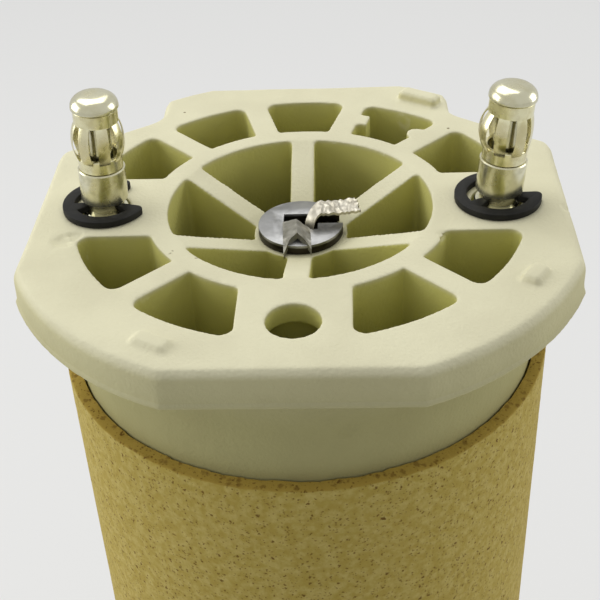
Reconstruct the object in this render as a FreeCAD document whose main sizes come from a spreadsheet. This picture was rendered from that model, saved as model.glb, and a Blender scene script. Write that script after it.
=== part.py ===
"""Hot air heating element: a cast ceramic head with two sprung plug pins on a sleeved ceramic heater core.

The element stands on the foot of its sleeve. The origin is the middle of that foot, Z is up, X runs from the left
pin to the right pin, and Y runs away from the spare terminal hole. All sizes are millimetres and degrees.
"""
import FreeCAD, Part
import math
import os

import Sketcher

# Driving sizes. Each one can be changed by itself.
SIZES = {
    # Sleeve
    "sleeve_length": 88.0,
    "sleeve_outer_dia": 43.9,
    "sleeve_wall": 1.0,
    "spigot_clearance": 0.25,
    # Head: flange and boss
    "flange_dia": 50.2,
    "flange_flats": 46.3,
    "flange_thickness": 3.4,
    "flange_top_bevel": 0.6,
    "relief_wall_x": 14.3,
    "relief_flat_distance": 21.9,
    "relief_angle": 54.0,
    "relief_round": 2.6,
    "boss_exposed": 9.3,
    "boss_taper": 0.8,
    "spigot_depth": 8.0,
    # Head: air cells
    "spigot_wall": 1.5,
    "ring_wall": 1.9,
    "outer_spoke_width": 2.3,
    "inner_cells_dia": 22.7,
    "inner_spoke_width": 2.25,
    "cell_round": 0.9,
    "hub_dia": 8.3,
    "hub_drop": 2.95,
    # Head: terminal bosses
    "pin_boss_width": 9.55,
    "spare_boss_width": 9.0,
    "pin_spacing": 33.7,
    "spare_hole_radius": 16.8,
    "terminal_hole_dia": 4.2,
    "terminal_web": 2.0,
    "terminal_pocket_width": 5.8,
    # Head: moulded details
    "key_rib_width": 1.9,
    "key_rib_height": 0.95,
    "nub_radius": 22.1,
    "nub_bevel": 0.35,
    "nub_width": 1.8,
    "gate_nub_length": 4.2,
    "gate_nub_height": 1.0,
    "pad_nub_length": 3.4,
    "pad_nub_height": 0.45,
    "bump_nub_length": 2.6,
    "bump_nub_height": 0.65,
    # Core blocks and foot plate
    "plenum_height": 5.0,
    "foot_recess": 3.0,
    "foot_plate_thickness": 1.0,
    "outer_channel_circle": 30.4,
    "inner_channel_circle": 14.8,
    "outer_channel_width": 7.0,
    "inner_channel_width": 5.6,
    # Heater windings
    "coil_clearance": 0.3,
    "winding_wire_dia": 1.0,
    "coil_overhang": 1.2,
    "lead_height": 3.2,
    # Plug pins
    "pin_dia": 4.0,
    "pin_hole_play": 0.1,
    "groove_dia": 3.2,
    "groove_height": 0.95,
    "barrel_top": 4.0,
    "cap_underside": 9.45,
    "pin_height": 10.7,
    "cap_flat_dia": 2.5,
    "pin_core_dia": 2.8,
    "pin_shoulder_dia": 5.2,
    "pin_shoulder_height": 1.2,
    "pin_tail_dia": 2.4,
    "pin_tail_length": 6.5,
    # Contact springs
    "spring_wall": 0.3,
    "spring_bulge_dia": 4.25,
    "spring_ring_height": 1.15,
    "spring_play": 0.1,
    "leaf_width": 0.8,
    "leaf_thickness": 0.22,
    "leaf_inset": 0.03,
    "leaf_lap": 0.3,
    # Retaining clips
    "clip_dia": 7.4,
    "clip_thickness": 0.6,
    "clip_recess_dia": 5.3,
    "clip_end_round": 0.5,
    # Crimp sleeves
    "crimp_across_flats": 3.6,
    "crimp_wire_grip": 3.0,
    "crimp_shoulder_gap": 0.3,
    # Hub washer and foot washer
    "washer_dia": 7.4,
    "washer_thickness": 0.85,
    "foot_washer_length": 7.4,
    "foot_washer_width": 5.6,
    # Tie strap
    "strap_width": 2.6,
    "strap_thickness": 1.0,
    "strap_play": 0.2,
    "strap_sheet": 0.5,
    "front_tongue_width": 2.4,
    "front_tongue_reach": 3.3,
    "front_tongue_rise": 1.0,
    "side_tongue_width": 2.0,
    "side_tongue_reach": 4.95,
    "side_tongue_rise": 1.4,
    "foot_tongue_reach": 3.6,
    "foot_tongue_thickness": 0.7,
}

# Fixed layout angles, in degrees anticlockwise from the right pin
OUTER_SPOKES = (45, 75, 105, 135, 225, 315)
INNER_SPOKES = (30, 90, 150, 210, 270, 330)
SPARE_TERMINAL = 270
KEY_RIB_SPOKES = {"square": OUTER_SPOKES[1], "round": OUTER_SPOKES[0]}
GATE_NUB_ANGLE = 59
PAD_NUB_ANGLE = -118
BUMP_NUB_ANGLE = -32
OUTER_CHANNELS = 8
INNER_CHANNELS = 4
INNER_CHANNEL_START = 45
CORE_BLOCKS = 2
SPRING_LEAVES = 8
SIDES = {"left": -1, "right": 1}
CLIP_MOUTH_ANGLES = {"left": 21, "right": 40}
CLIP_MOUTH_HALF_ANGLE = 38
CLIP_TOOTH_HALF_ANGLE = 13
CLIP_END_TOOTH_ANGLE = 24
SIDE_TONGUE_TURN = 10
# Channels of one winding in the order of its wire, as (ring, angle), for the winding that starts at the left pin
WINDING_ROUTE = (
    ("outer", 180), ("outer", 225), ("inner", 225), ("inner", 315), ("outer", 270), ("outer", 315),
)
COIL_SIDES = 8
WIRE_SIDES = 6
# A cutting tool runs this far past the faces it cuts
OVERCUT = 2.0

doc = FreeCAD.newDocument("HotAirElement")
sheet = doc.addObject("Spreadsheet::Sheet", "Sizes")


class Size:
    """A size that knows its value now and the sheet expression that it follows."""

    def __init__(self, value, text):
        self.value = value
        self.text = text

    @staticmethod
    def of(item):
        return item if isinstance(item, Size) else Size(float(item), "(%.9g)" % item)

    def __add__(self, other):
        other = Size.of(other)
        return Size(self.value + other.value, "(%s + %s)" % (self.text, other.text))

    def __sub__(self, other):
        other = Size.of(other)
        return Size(self.value - other.value, "(%s - %s)" % (self.text, other.text))

    def __mul__(self, other):
        other = Size.of(other)
        return Size(self.value * other.value, "(%s * %s)" % (self.text, other.text))

    def __truediv__(self, other):
        other = Size.of(other)
        return Size(self.value / other.value, "(%s / %s)" % (self.text, other.text))

    def __neg__(self):
        return Size(-self.value, "(0 - %s)" % self.text)

    __radd__ = __add__
    __rmul__ = __mul__


def fill_sheet():
    """Writes the driving sizes into the sheet, one named row each."""
    for row, (name, value) in enumerate(SIZES.items(), start=1):
        sheet.set("A%d" % row, name)
        sheet.set("B%d" % row, str(value))
        sheet.setAlias("B%d" % row, name)
    doc.recompute()


def size(name):
    return Size(SIZES[name], "Sizes." + name)


fill_sheet()

# Heights and radii that several pieces share, worked out from the driving sizes
head_top = size("sleeve_length") + size("boss_exposed") + size("flange_thickness")
flange_under = head_top - size("flange_thickness")
spigot_end = size("sleeve_length") - size("spigot_depth")
core_top = spigot_end - size("plenum_height")
core_bottom = size("foot_recess") + size("foot_plate_thickness")
block_height = (core_top - core_bottom) / CORE_BLOCKS
sleeve_radius = size("sleeve_outer_dia") / 2
bore_radius = sleeve_radius - size("sleeve_wall")
spigot_radius = bore_radius - size("spigot_clearance")
outer_cells_reach = spigot_radius - size("spigot_wall")
outer_cells_start = size("inner_cells_dia") / 2 + size("ring_wall")
outer_cells_middle = (outer_cells_reach + outer_cells_start) / 2
hub_top = head_top - size("hub_drop")
washer_top = hub_top + size("washer_thickness")
web_under = head_top - size("terminal_web")
pin_radius_from_axis = size("pin_spacing") / 2
pin_shank_dia = size("terminal_hole_dia") - size("pin_hole_play") * 2
pin_tail_end = web_under - size("pin_shoulder_height") - size("pin_tail_length")
crimp_bottom = pin_tail_end - size("crimp_wire_grip")


def set_size(item, name, value):
    """Ties a property, or a part of one such as Placement.Base.x, to a size."""
    item.setExpression(name, Size.of(value).text)


def place(item, x=0, y=0, z=0, turn=0):
    """Turns an object about the vertical and ties its place to sizes."""
    item.Placement = FreeCAD.Placement(FreeCAD.Vector(0, 0, 0), FreeCAD.Rotation(FreeCAD.Vector(0, 0, 1), turn))
    for axis, value in zip("xyz", (x, y, z)):
        set_size(item, "Placement.Base." + axis, value)
    return item


def cylinder(name, radius, height, x=0, y=0, z=0, sector=None, turn=0):
    item = doc.addObject("Part::Cylinder", name)
    set_size(item, "Radius", radius)
    set_size(item, "Height", height)
    if sector is not None:
        item.Angle = sector
    return place(item, x, y, z, turn)


def cone(name, lower_radius, upper_radius, height, z):
    item = doc.addObject("Part::Cone", name)
    set_size(item, "Radius1", lower_radius)
    set_size(item, "Radius2", upper_radius)
    set_size(item, "Height", height)
    return place(item, z=z)


def box(name, length, width, height, x=0, y=0, z=0, turn=0):
    item = doc.addObject("Part::Box", name)
    set_size(item, "Length", length)
    set_size(item, "Width", width)
    set_size(item, "Height", height)
    return place(item, x, y, z, turn)


def bar(name, start, length, width, height, z, angle):
    """A box that runs out along an angle from the axis, centred on that angle."""
    c = math.cos(math.radians(angle))
    s = math.sin(math.radians(angle))
    start = Size.of(start)
    x = start * c + width * (s / 2)
    y = start * s - width * (c / 2)
    return box(name, length, width, height, x, y, z, angle)


def fuse(name, items):
    item = doc.addObject("Part::MultiFuse", name)
    item.Shapes = items
    item.Refine = True
    return item


def cut(name, base, tool):
    item = doc.addObject("Part::Cut", name)
    item.Base = base
    item.Tool = tool
    item.Refine = True
    return item


def common(name, items):
    item = doc.addObject("Part::MultiCommon", name)
    item.Shapes = items
    return item


def mirror_x(name, source):
    item = doc.addObject("Part::Mirroring", name)
    item.Source = source
    item.Normal = FreeCAD.Vector(1, 0, 0)
    return item


def dress_edges(kind, name, base, amount, wanted):
    """Adds a Fillet or a Chamfer along the edges of a finished base that the test picks."""
    doc.recompute()
    item = doc.addObject("Part::" + kind, name)
    item.Base = base
    item.Edges = [(n, amount, amount) for n, edge in enumerate(base.Shape.Edges, start=1) if wanted(edge)]
    return item


def is_upright(edge):
    """True on a straight edge that runs up and down."""
    if not isinstance(edge.Curve, Part.Line):
        return False
    run = edge.lastVertex().Point - edge.firstVertex().Point
    return abs(run.z) > 0.99 * run.Length


def lies_at(height):
    """A test that is true on an edge that lies wholly at one height."""
    def wanted(edge):
        return abs(edge.BoundBox.ZMin - height.value) < 1e-4 and abs(edge.BoundBox.ZMax - height.value) < 1e-4
    return wanted


def make_body(name):
    return doc.addObject("PartDesign::Body", name)


def body_plane(body, role):
    for feature in body.Origin.OriginFeatures:
        if feature.Role == role:
            return feature
    raise ValueError("no plane " + role)


def make_sketch(body, name, role):
    sketch = body.newObject("Sketcher::SketchObject", name)
    sketch.AttachmentSupport = [(body_plane(body, role), "")]
    sketch.MapMode = "FlatFace"
    return sketch


def pin_point(sketch, line, end, x, y):
    """Ties one end of a sketch line to a place given by two sizes."""
    for kind, axis, value in (("DistanceX", -2, Size.of(x)), ("DistanceY", -1, Size.of(y))):
        if abs(value.value) < 1e-9:
            sketch.addConstraint(Sketcher.Constraint("PointOnObject", line, end, axis))
            continue
        at = sketch.addConstraint(Sketcher.Constraint(kind, -1, 1, line, end, value.value))
        sketch.setExpression("Constraints[%d]" % at, value.text)


def line_outline(sketch, corners):
    """Draws a closed outline of straight lines, each corner tied to its sizes."""
    spots = [FreeCAD.Vector(Size.of(x).value, Size.of(y).value, 0) for x, y in corners]
    count = len(corners)
    lines = [sketch.addGeometry(Part.LineSegment(spots[n], spots[(n + 1) % count]), False) for n in range(count)]
    for n in range(count):
        sketch.addConstraint(Sketcher.Constraint("Coincident", lines[n], 2, lines[(n + 1) % count], 1))
    for line, (x, y) in zip(lines, corners):
        pin_point(sketch, line, 1, x, y)


def circle(sketch, radius, x=0, y=0):
    """Draws a circle tied to its centre and radius."""
    centre = FreeCAD.Vector(Size.of(x).value, Size.of(y).value, 0)
    n = sketch.addGeometry(Part.Circle(centre, FreeCAD.Vector(0, 0, 1), radius.value), False)
    pin_point(sketch, n, 3, x, y)
    at = sketch.addConstraint(Sketcher.Constraint("Radius", n, radius.value))
    sketch.setExpression("Constraints[%d]" % at, radius.text)


def pad(body, name, sketch, length):
    feature = body.newObject("PartDesign::Pad", name)
    feature.Profile = sketch
    set_size(feature, "Length", length)
    sketch.Visibility = False
    return feature


def pocket_through(body, name, sketch, reversed_way=True):
    feature = body.newObject("PartDesign::Pocket", name)
    feature.Profile = sketch
    feature.Type = "ThroughAll"
    feature.Reversed = reversed_way
    return feature


def polar(body, name, feature, count):
    """Repeats a feature evenly round the body's upright axis."""
    pattern = body.newObject("PartDesign::PolarPattern", name)
    pattern.Originals = [feature]
    pattern.Axis = (body_plane(body, "Z_Axis"), [""])
    pattern.Angle = 360
    pattern.Occurrences = count
    body.Tip = pattern
    return pattern


def revolve(body, name, sketch):
    feature = body.newObject("PartDesign::Revolution", name)
    feature.Profile = sketch
    feature.ReferenceAxis = (sketch, ["V_Axis"])
    feature.Angle = 360
    return feature


def extrude(name, sketch, front_length, back_length=0):
    """Extrudes an upright sketch to the front and, if asked, to the back as well."""
    item = doc.addObject("Part::Extrusion", name)
    item.Base = sketch
    item.DirMode = "Custom"
    item.Dir = FreeCAD.Vector(0, -1, 0)
    item.Solid = True
    set_size(item, "LengthFwd", front_length)
    set_size(item, "LengthRev", back_length)
    return item


def name_part(item, label):
    item.Label = label
    return item


def flange_relief():
    """The tool that takes away the right back corner of the flange, with a rounded inner corner."""
    angle = SIZES["relief_angle"]
    c = math.cos(math.radians(angle))
    s = math.sin(math.radians(angle))
    reach = size("flange_dia")
    height = size("flange_thickness") + 2 * OVERCUT
    base = flange_under - OVERCUT
    distance = size("relief_flat_distance")
    beyond = box("ReliefBeyondFlat", reach, reach * 2, height, distance * c + reach * s, distance * s - reach * c, base,
                 angle)
    outside = box("ReliefOutsideWall", reach, reach, height, size("relief_wall_x"), 0, base)
    corner = common("ReliefCorner", [beyond, outside])
    wall = SIZES["relief_wall_x"]

    def inner_corner(edge):
        return is_upright(edge) and abs(edge.BoundBox.XMin - wall) < 1e-4 and edge.BoundBox.YMin < reach.value / 2

    return dress_edges("Fillet", "ReliefRounded", corner, SIZES["relief_round"], inner_corner)


def make_flange():
    thickness = size("flange_thickness")
    flats = size("flange_flats")
    disc = cylinder("FlangeDisc", size("flange_dia") / 2, thickness, z=flange_under)
    square = box("FlangeSquare", flats, flats, thickness, -flats / 2, -flats / 2, flange_under)
    blank = common("FlangeBlank", [disc, square])
    right = flange_relief()
    left = mirror_x("ReliefRoundedLeft", right)
    right_cut = cut("FlangeCutRight", blank, right)
    both_cut = cut("FlangeCutBoth", right_cut, left)
    return dress_edges("Chamfer", "Flange", both_cut, SIZES["flange_top_bevel"], lies_at(head_top))


def cell_ring(name, outer_radius, inner_radius, bars):
    """The tool that opens one ring of air cells."""
    base = spigot_end - OVERCUT
    height = head_top - spigot_end + 2 * OVERCUT
    disc = cylinder(name + "Disc", outer_radius, height, z=base)
    middle = cylinder(name + "Middle", inner_radius, height, z=base)
    return cut(name + "Cells", disc, fuse(name + "Keep", [middle] + bars))


def outer_cells():
    base = spigot_end - OVERCUT
    height = head_top - spigot_end + 2 * OVERCUT
    reach = outer_cells_reach * 2
    bars = [bar("OuterSpoke%d" % a, 0, reach, size("outer_spoke_width"), height, base, a) for a in OUTER_SPOKES]
    bars += [bar("PinBoss%d" % a, 0, reach, size("pin_boss_width"), height, base, a) for a in (0, 180)]
    bars += [bar("SpareBoss", 0, reach, size("spare_boss_width"), height, base, SPARE_TERMINAL)]
    ring = cell_ring("Outer", outer_cells_reach, outer_cells_start, bars)

    def outer_corner(edge):
        point = edge.firstVertex().Point
        return is_upright(edge) and math.hypot(point.x, point.y) > outer_cells_middle.value

    return dress_edges("Fillet", "OuterCellsRounded", ring, SIZES["cell_round"], outer_corner)


def inner_cells():
    base = spigot_end - OVERCUT
    height = head_top - spigot_end + 2 * OVERCUT
    reach = size("inner_cells_dia")
    bars = [bar("InnerSpoke%d" % a, 0, reach, size("inner_spoke_width"), height, base, a) for a in INNER_SPOKES]
    return cell_ring("Inner", size("inner_cells_dia") / 2, size("hub_dia") / 2, bars)


def terminal_seat(name, angle, radius_from_axis):
    """The tool for one terminal: a round hole through the web and a wider square pocket below it."""
    x = radius_from_axis * math.cos(math.radians(angle))
    y = radius_from_axis * math.sin(math.radians(angle))
    hole = cylinder(name + "Hole", size("terminal_hole_dia") / 2, size("terminal_web") + 2 * OVERCUT, x, y,
                    web_under - OVERCUT)
    width = size("terminal_pocket_width")
    pocket = box(name + "Pocket", width, width, web_under - spigot_end + OVERCUT, x - width / 2, y - width / 2,
                 spigot_end - OVERCUT)
    return fuse(name, [hole, pocket])


def key_ribs():
    """Two upright ribs that face each other in the cell between two spokes, one square and one round."""
    height = head_top - spigot_end
    half_spoke = size("outer_spoke_width") / 2
    proud = size("key_rib_height")
    width = size("key_rib_width")
    angle = KEY_RIB_SPOKES["square"]
    c = math.cos(math.radians(angle))
    s = math.sin(math.radians(angle))
    start = outer_cells_middle - width / 2
    depth = half_spoke + proud
    square = box("SquareRib", width, depth, height, start * c + depth * s, start * s - depth * c, spigot_end, angle)
    angle = KEY_RIB_SPOKES["round"]
    c = math.cos(math.radians(angle))
    s = math.sin(math.radians(angle))
    offset = half_spoke + proud - width / 2
    rounded = cylinder("RoundRib", width / 2, height, outer_cells_middle * c - offset * s,
                       outer_cells_middle * s + offset * c, spigot_end)
    return [square, rounded]


def nub(name, angle, length, height):
    """A low rounded pad on the flange, long side across the radius."""
    c = math.cos(math.radians(angle))
    s = math.sin(math.radians(angle))
    width = size("nub_width")
    radius = size("nub_radius") - width / 2
    sink = size("flange_thickness") / 2
    pad_box = box(name + "Block", width, length, height + sink, radius * c + length * (s / 2),
                  radius * s - length * (c / 2), head_top - sink, angle)
    sides = dress_edges("Chamfer", name + "Sides", pad_box, SIZES["nub_bevel"], is_upright)
    return dress_edges("Chamfer", name, sides, SIZES["nub_bevel"], lies_at(head_top + height))


def make_head():
    """The ceramic casting: flange, boss, spigot, dished wheel and hub, air cells and terminal seats."""
    flange = make_flange()
    taper = size("boss_taper")
    boss = cone("Boss", spigot_radius, spigot_radius + taper, size("boss_exposed"), size("sleeve_length"))
    spigot = cylinder("Spigot", spigot_radius, size("spigot_depth"), z=spigot_end)
    nubs = [
        nub("GateNub", GATE_NUB_ANGLE, size("gate_nub_length"), size("gate_nub_height")),
        nub("PadNub", PAD_NUB_ANGLE, size("pad_nub_length"), size("pad_nub_height")),
        nub("BumpNub", BUMP_NUB_ANGLE, size("bump_nub_length"), size("bump_nub_height")),
    ]
    solid = fuse("HeadBlank", [flange, boss, spigot] + nubs)
    pierced = cut("HeadOuterCells", solid, outer_cells())
    ribbed = fuse("HeadRibs", [pierced] + key_ribs())
    wheel = cut("HeadInnerCells", ribbed, inner_cells())
    dish = cone("WheelDish", size("hub_dia") / 2, size("inner_cells_dia") / 2, size("hub_drop"), hub_top)
    dished = cut("HeadDished", wheel, dish)
    column = cylinder("HubColumn", size("hub_dia") / 2, size("plenum_height") + OVERCUT, z=core_top)
    carried = fuse("HeadWithColumn", [dished, column])
    slot_length = size("strap_width") + size("strap_play") * 2
    slot_width = size("strap_thickness") + size("strap_play") * 2
    slot = box("StrapSlot", slot_length, slot_width, head_top - core_top + 2 * OVERCUT, -slot_length / 2,
               -slot_width / 2, core_top - OVERCUT)
    seats = [
        terminal_seat("RightSeat", 0, pin_radius_from_axis),
        terminal_seat("LeftSeat", 180, pin_radius_from_axis),
        terminal_seat("SpareSeat", SPARE_TERMINAL, size("spare_hole_radius")),
    ]
    return name_part(cut("CeramicHead", carried, fuse("HeadTools", [slot] + seats)), "ceramic_head")


def make_sleeve():
    body = make_body("OuterSleeve")
    sketch = make_sketch(body, "SleeveSection", "XY_Plane")
    circle(sketch, sleeve_radius)
    circle(sketch, bore_radius)
    pad(body, "SleeveTube", sketch, size("sleeve_length"))
    return name_part(body, "outer_sleeve")


def regular(sketch, sides, corner, turn, x=0, y=0):
    """Draws a regular outline by its corner radius, with its first corner along the turn angle."""
    corners = []
    for n in range(sides):
        a = math.radians(turn + 360 * n / sides)
        corners.append((corner * math.cos(a) + x, corner * math.sin(a) + y))
    line_outline(sketch, corners)


def hexagon(sketch, across, turn, x=0, y=0):
    """Draws a six-sided outline by its width across flats, with one flat facing along the turn angle."""
    regular(sketch, 6, across / (2 * math.cos(math.radians(30))), turn + 30, x, y)


def make_perforated_disc(label, name, height, base, is_plate=False):
    """A block that fills the sleeve's bore, with two rings of wire channels and a slot for the strap."""
    body = make_body(name)
    sketch = make_sketch(body, name + "Section", "XY_Plane")
    if is_plate:
        regular(sketch, OUTER_CHANNELS, bore_radius, 0)
    else:
        circle(sketch, bore_radius)
    half_length = size("strap_width") / 2 + size("strap_play")
    half_width = size("strap_thickness") / 2 + size("strap_play")
    line_outline(sketch, [(-half_length, -half_width), (half_length, -half_width), (half_length, half_width),
                          (-half_length, half_width)])
    pad(body, name + "Block", sketch, height)
    outer = make_sketch(body, name + "OuterChannel", "XY_Plane")
    hexagon(outer, size("outer_channel_width"), 0, size("outer_channel_circle") / 2, Size.of(0))
    outer_cut = pocket_through(body, name + "OuterCut", outer)
    polar(body, name + "OuterRing", outer_cut, OUTER_CHANNELS)
    inner = make_sketch(body, name + "InnerChannel", "XY_Plane")
    turn = math.radians(INNER_CHANNEL_START)
    radius = size("inner_channel_circle") / 2
    hexagon(inner, size("inner_channel_width"), INNER_CHANNEL_START, radius * math.cos(turn), radius * math.sin(turn))
    inner_cut = pocket_through(body, name + "InnerCut", inner)
    polar(body, name + "InnerRing", inner_cut, INNER_CHANNELS)
    place(body, z=base)
    return name_part(body, label)


def make_core():
    """The stack of core blocks and the foot plate under it."""
    pieces = []
    for n in range(CORE_BLOCKS):
        base = core_top - block_height * (n + 1)
        pieces.append(make_perforated_disc("core_block_%d" % (n + 1), "CoreBlock%d" % (n + 1), block_height, base))
    plate = make_perforated_disc("foot_plate", "FootPlate", size("foot_plate_thickness"), size("foot_recess"), True)
    return pieces + [plate]


def sheet_value(name):
    return float(sheet.get(name))


def rod(start, end, radius, sides, across):
    """A straight rod between two points with a plain many-sided section, one corner towards the across way."""
    run = end - start
    across = (across - run * (across.dot(run) / run.dot(run))).normalize()
    other = run.cross(across).normalize()
    corners = []
    for n in range(sides + 1):
        a = 2 * math.pi * n / sides
        corners.append(start + across * (radius * math.cos(a)) + other * (radius * math.sin(a)))
    return Part.Face(Part.makePolygon(corners)).extrude(run)


def winding_shape():
    """The winding that starts at the left pin: its coils' outer shape with the wire that joins them."""
    wire = sheet_value("winding_wire_dia") / 2
    overhang = sheet_value("coil_overhang")
    low = sheet_value("foot_recess") - overhang
    high = core_top.value + overhang
    rings = {ring: sheet_value(ring + "_channel_circle") / 2 for ring in ("outer", "inner")}
    coils = {ring: sheet_value(ring + "_channel_width") / 2 - sheet_value("coil_clearance") for ring in rings}
    up = FreeCAD.Vector(0, 0, 1)
    front = FreeCAD.Vector(0, -1, 0)

    def spot(step, height):
        ring, angle = step
        a = math.radians(angle)
        return FreeCAD.Vector(rings[ring] * math.cos(a), rings[ring] * math.sin(a), height)

    solids = [rod(spot(step, low), spot(step, high), coils[step[0]], COIL_SIDES, front) for step in WINDING_ROUTE]
    # The links lie on the top block and hug the foot plate from below, in turn
    for n in range(len(WINDING_ROUTE) - 1):
        height = sheet_value("foot_recess") - wire if n % 2 == 0 else core_top.value + wire
        solids.append(rod(spot(WINDING_ROUTE[n], height), spot(WINDING_ROUTE[n + 1], height), wire, WIRE_SIDES, up))
    # Each end runs to a knee below its pin and straight up to the crimp, where two ends lie against the bore
    beside = sheet_value("pin_tail_dia") / 2 - wire
    knee_height = core_top.value + sheet_value("lead_height")
    for step, side in ((WINDING_ROUTE[0], -1), (WINDING_ROUTE[-1], 1)):
        knee = FreeCAD.Vector(side * pin_radius_from_axis.value, -beside, knee_height)
        top = FreeCAD.Vector(knee.x, knee.y, pin_tail_end.value)
        solids.append(rod(spot(step, high - wire), knee, wire, WIRE_SIDES, up))
        solids.append(rod(knee - up * wire, top, wire, WIRE_SIDES, front))
    return solids[0].multiFuse(solids[1:]).removeSplitter()


def make_windings():
    pieces = []
    for label, name, turn in (("heater_winding_front", "WindingFront", 0), ("heater_winding_back", "WindingBack", 180)):
        item = doc.addObject("Part::Feature", name)
        item.Shape = winding_shape()
        item.Placement = FreeCAD.Placement(FreeCAD.Vector(0, 0, 0), FreeCAD.Rotation(FreeCAD.Vector(0, 0, 1), turn))
        pieces.append(name_part(item, label))
    return pieces


def make_crimp(side):
    """The six-sided sleeve that is pressed onto a pin's tail and two winding ends."""
    body = make_body("Crimp" + side.capitalize())
    sketch = make_sketch(body, "CrimpSection" + side.capitalize(), "XY_Plane")
    hexagon(sketch, size("crimp_across_flats"), 0)
    circle(sketch, size("pin_tail_dia") / 2)
    length = size("crimp_wire_grip") + size("pin_tail_length") - size("crimp_shoulder_gap")
    pad(body, "CrimpTube" + side.capitalize(), sketch, length)
    place(body, pin_radius_from_axis * SIDES[side], 0, crimp_bottom)
    return name_part(body, "crimp_" + side)


def make_pin(side):
    """A turned plug pin: tail, shoulder, shank, clip groove, barrel, core and riveted cap."""
    body = make_body("Pin" + side.capitalize())
    sketch = make_sketch(body, "PinProfile" + side.capitalize(), "XZ_Plane")
    tail = size("pin_tail_dia") / 2
    shoulder = size("pin_shoulder_dia") / 2
    shank = pin_shank_dia / 2
    groove = size("groove_dia") / 2
    barrel = size("pin_dia") / 2
    core = size("pin_core_dia") / 2
    flat = size("cap_flat_dia") / 2
    web = size("terminal_web")
    shoulder_low = -web - size("pin_shoulder_height")
    cap_low = size("cap_underside")
    cap_top = size("pin_height")
    corners = [
        (0, shoulder_low - size("pin_tail_length")),
        (tail, shoulder_low - size("pin_tail_length")),
        (tail, shoulder_low),
        (shoulder, shoulder_low),
        (shoulder, -web),
        (shank, -web),
        (shank, 0),
        (groove, 0),
        (groove, size("groove_height")),
        (barrel, size("groove_height")),
        (barrel, size("barrel_top")),
        (core, size("barrel_top")),
        (core, cap_low),
        (barrel, cap_low),
        (barrel, cap_low + (cap_top - cap_low) * 0.4),
        (flat, cap_top),
        (0, cap_top),
    ]
    line_outline(sketch, corners)
    revolve(body, "PinTurned" + side.capitalize(), sketch)
    place(body, pin_radius_from_axis * SIDES[side], 0, head_top)
    return name_part(body, "terminal_pin_" + side)


def tube(name, outer_radius, inner_radius, height, x, z):
    outside = cylinder(name + "Outside", outer_radius, height, x, 0, z)
    inside = cylinder(name + "Inside", inner_radius, height + 2 * OVERCUT, x, 0, z - OVERCUT)
    return cut(name, outside, inside)


def make_spring(side):
    """Two thin rings round the pin's core, joined by bowed leaves that grip a socket."""
    tag = side.capitalize()
    x = pin_radius_from_axis * SIDES[side]
    inner = size("pin_core_dia") / 2 + size("spring_play")
    outer = inner + size("spring_wall")
    low = size("barrel_top")
    high = size("cap_underside")
    ring = size("spring_ring_height")
    lap = size("leaf_lap")
    crest = size("spring_bulge_dia") / 2 - size("leaf_thickness")
    span = high - low - ring * 2
    # Each leaf rises from its lower ring, runs flat over the crest and falls to its upper ring
    foot = inner + size("leaf_inset")
    inside = [
        (foot, low + ring - lap),
        (foot, low + ring),
        (crest, low + ring + span * 0.38),
        (crest, low + ring + span * 0.62),
        (foot, high - ring),
        (foot, high - ring + lap),
    ]
    outside = [(px + size("leaf_thickness"), pz) for px, pz in reversed(inside)]
    profile = doc.addObject("Sketcher::SketchObject", "LeafProfile" + tag)
    line_outline(profile, inside + outside)
    profile.Placement = FreeCAD.Placement(FreeCAD.Vector(0, 0, 0), FreeCAD.Rotation(FreeCAD.Vector(1, 0, 0), 90))
    pieces = [
        tube("SpringFootRing" + tag, outer, inner, ring, x, head_top + low),
        tube("SpringTopRing" + tag, outer, inner, ring, x, head_top + high - ring),
    ]
    for n in range(SPRING_LEAVES):
        pieces.append(extrude("Leaf%s%d" % (tag, n + 1), profile, size("leaf_width") / 2, size("leaf_width") / 2))
        place(pieces[-1], x, 0, head_top, 360 * n / SPRING_LEAVES)
    return name_part(fuse("Spring" + tag, pieces), "contact_spring_" + side)


def make_clip(side):
    """An E-shaped retaining clip that lies on the head, with three teeth in the pin's groove."""
    tag = side.capitalize()
    mouth = CLIP_MOUTH_ANGLES[side]
    x = pin_radius_from_axis * SIDES[side]
    thickness = size("clip_thickness")
    tall = thickness + 2 * OVERCUT
    base = head_top - OVERCUT
    recess_sweep = 180 - CLIP_TOOTH_HALF_ANGLE - CLIP_MOUTH_HALF_ANGLE - CLIP_END_TOOTH_ANGLE
    disc = cylinder("ClipDisc" + tag, size("clip_dia") / 2, thickness, x, 0, head_top)
    tools = [
        cylinder("ClipSeat" + tag, size("groove_dia") / 2, tall, x, 0, base),
        cylinder("ClipMouth" + tag, size("clip_dia"), tall, x, 0, base, 2 * CLIP_MOUTH_HALF_ANGLE,
                 mouth - CLIP_MOUTH_HALF_ANGLE),
        cylinder("ClipRecessOne" + tag, size("clip_recess_dia") / 2, tall, x, 0, base, recess_sweep,
                 mouth + CLIP_MOUTH_HALF_ANGLE + CLIP_END_TOOTH_ANGLE),
        cylinder("ClipRecessTwo" + tag, size("clip_recess_dia") / 2, tall, x, 0, base, recess_sweep,
                 mouth + 180 + CLIP_TOOTH_HALF_ANGLE),
    ]
    blank = cut("ClipBlank" + tag, disc, fuse("ClipTools" + tag, tools))
    outer = SIZES["clip_dia"] / 2
    centre = FreeCAD.Vector(x.value, 0, 0)

    def outer_end(edge):
        if not is_upright(edge):
            return False
        point = edge.firstVertex().Point
        return abs(math.hypot(point.x - centre.x, point.y) - outer) < 1e-3

    rounded = dress_edges("Fillet", "Clip" + tag, blank, SIZES["clip_end_round"], outer_end)
    return name_part(rounded, "retaining_clip_" + side)


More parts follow.
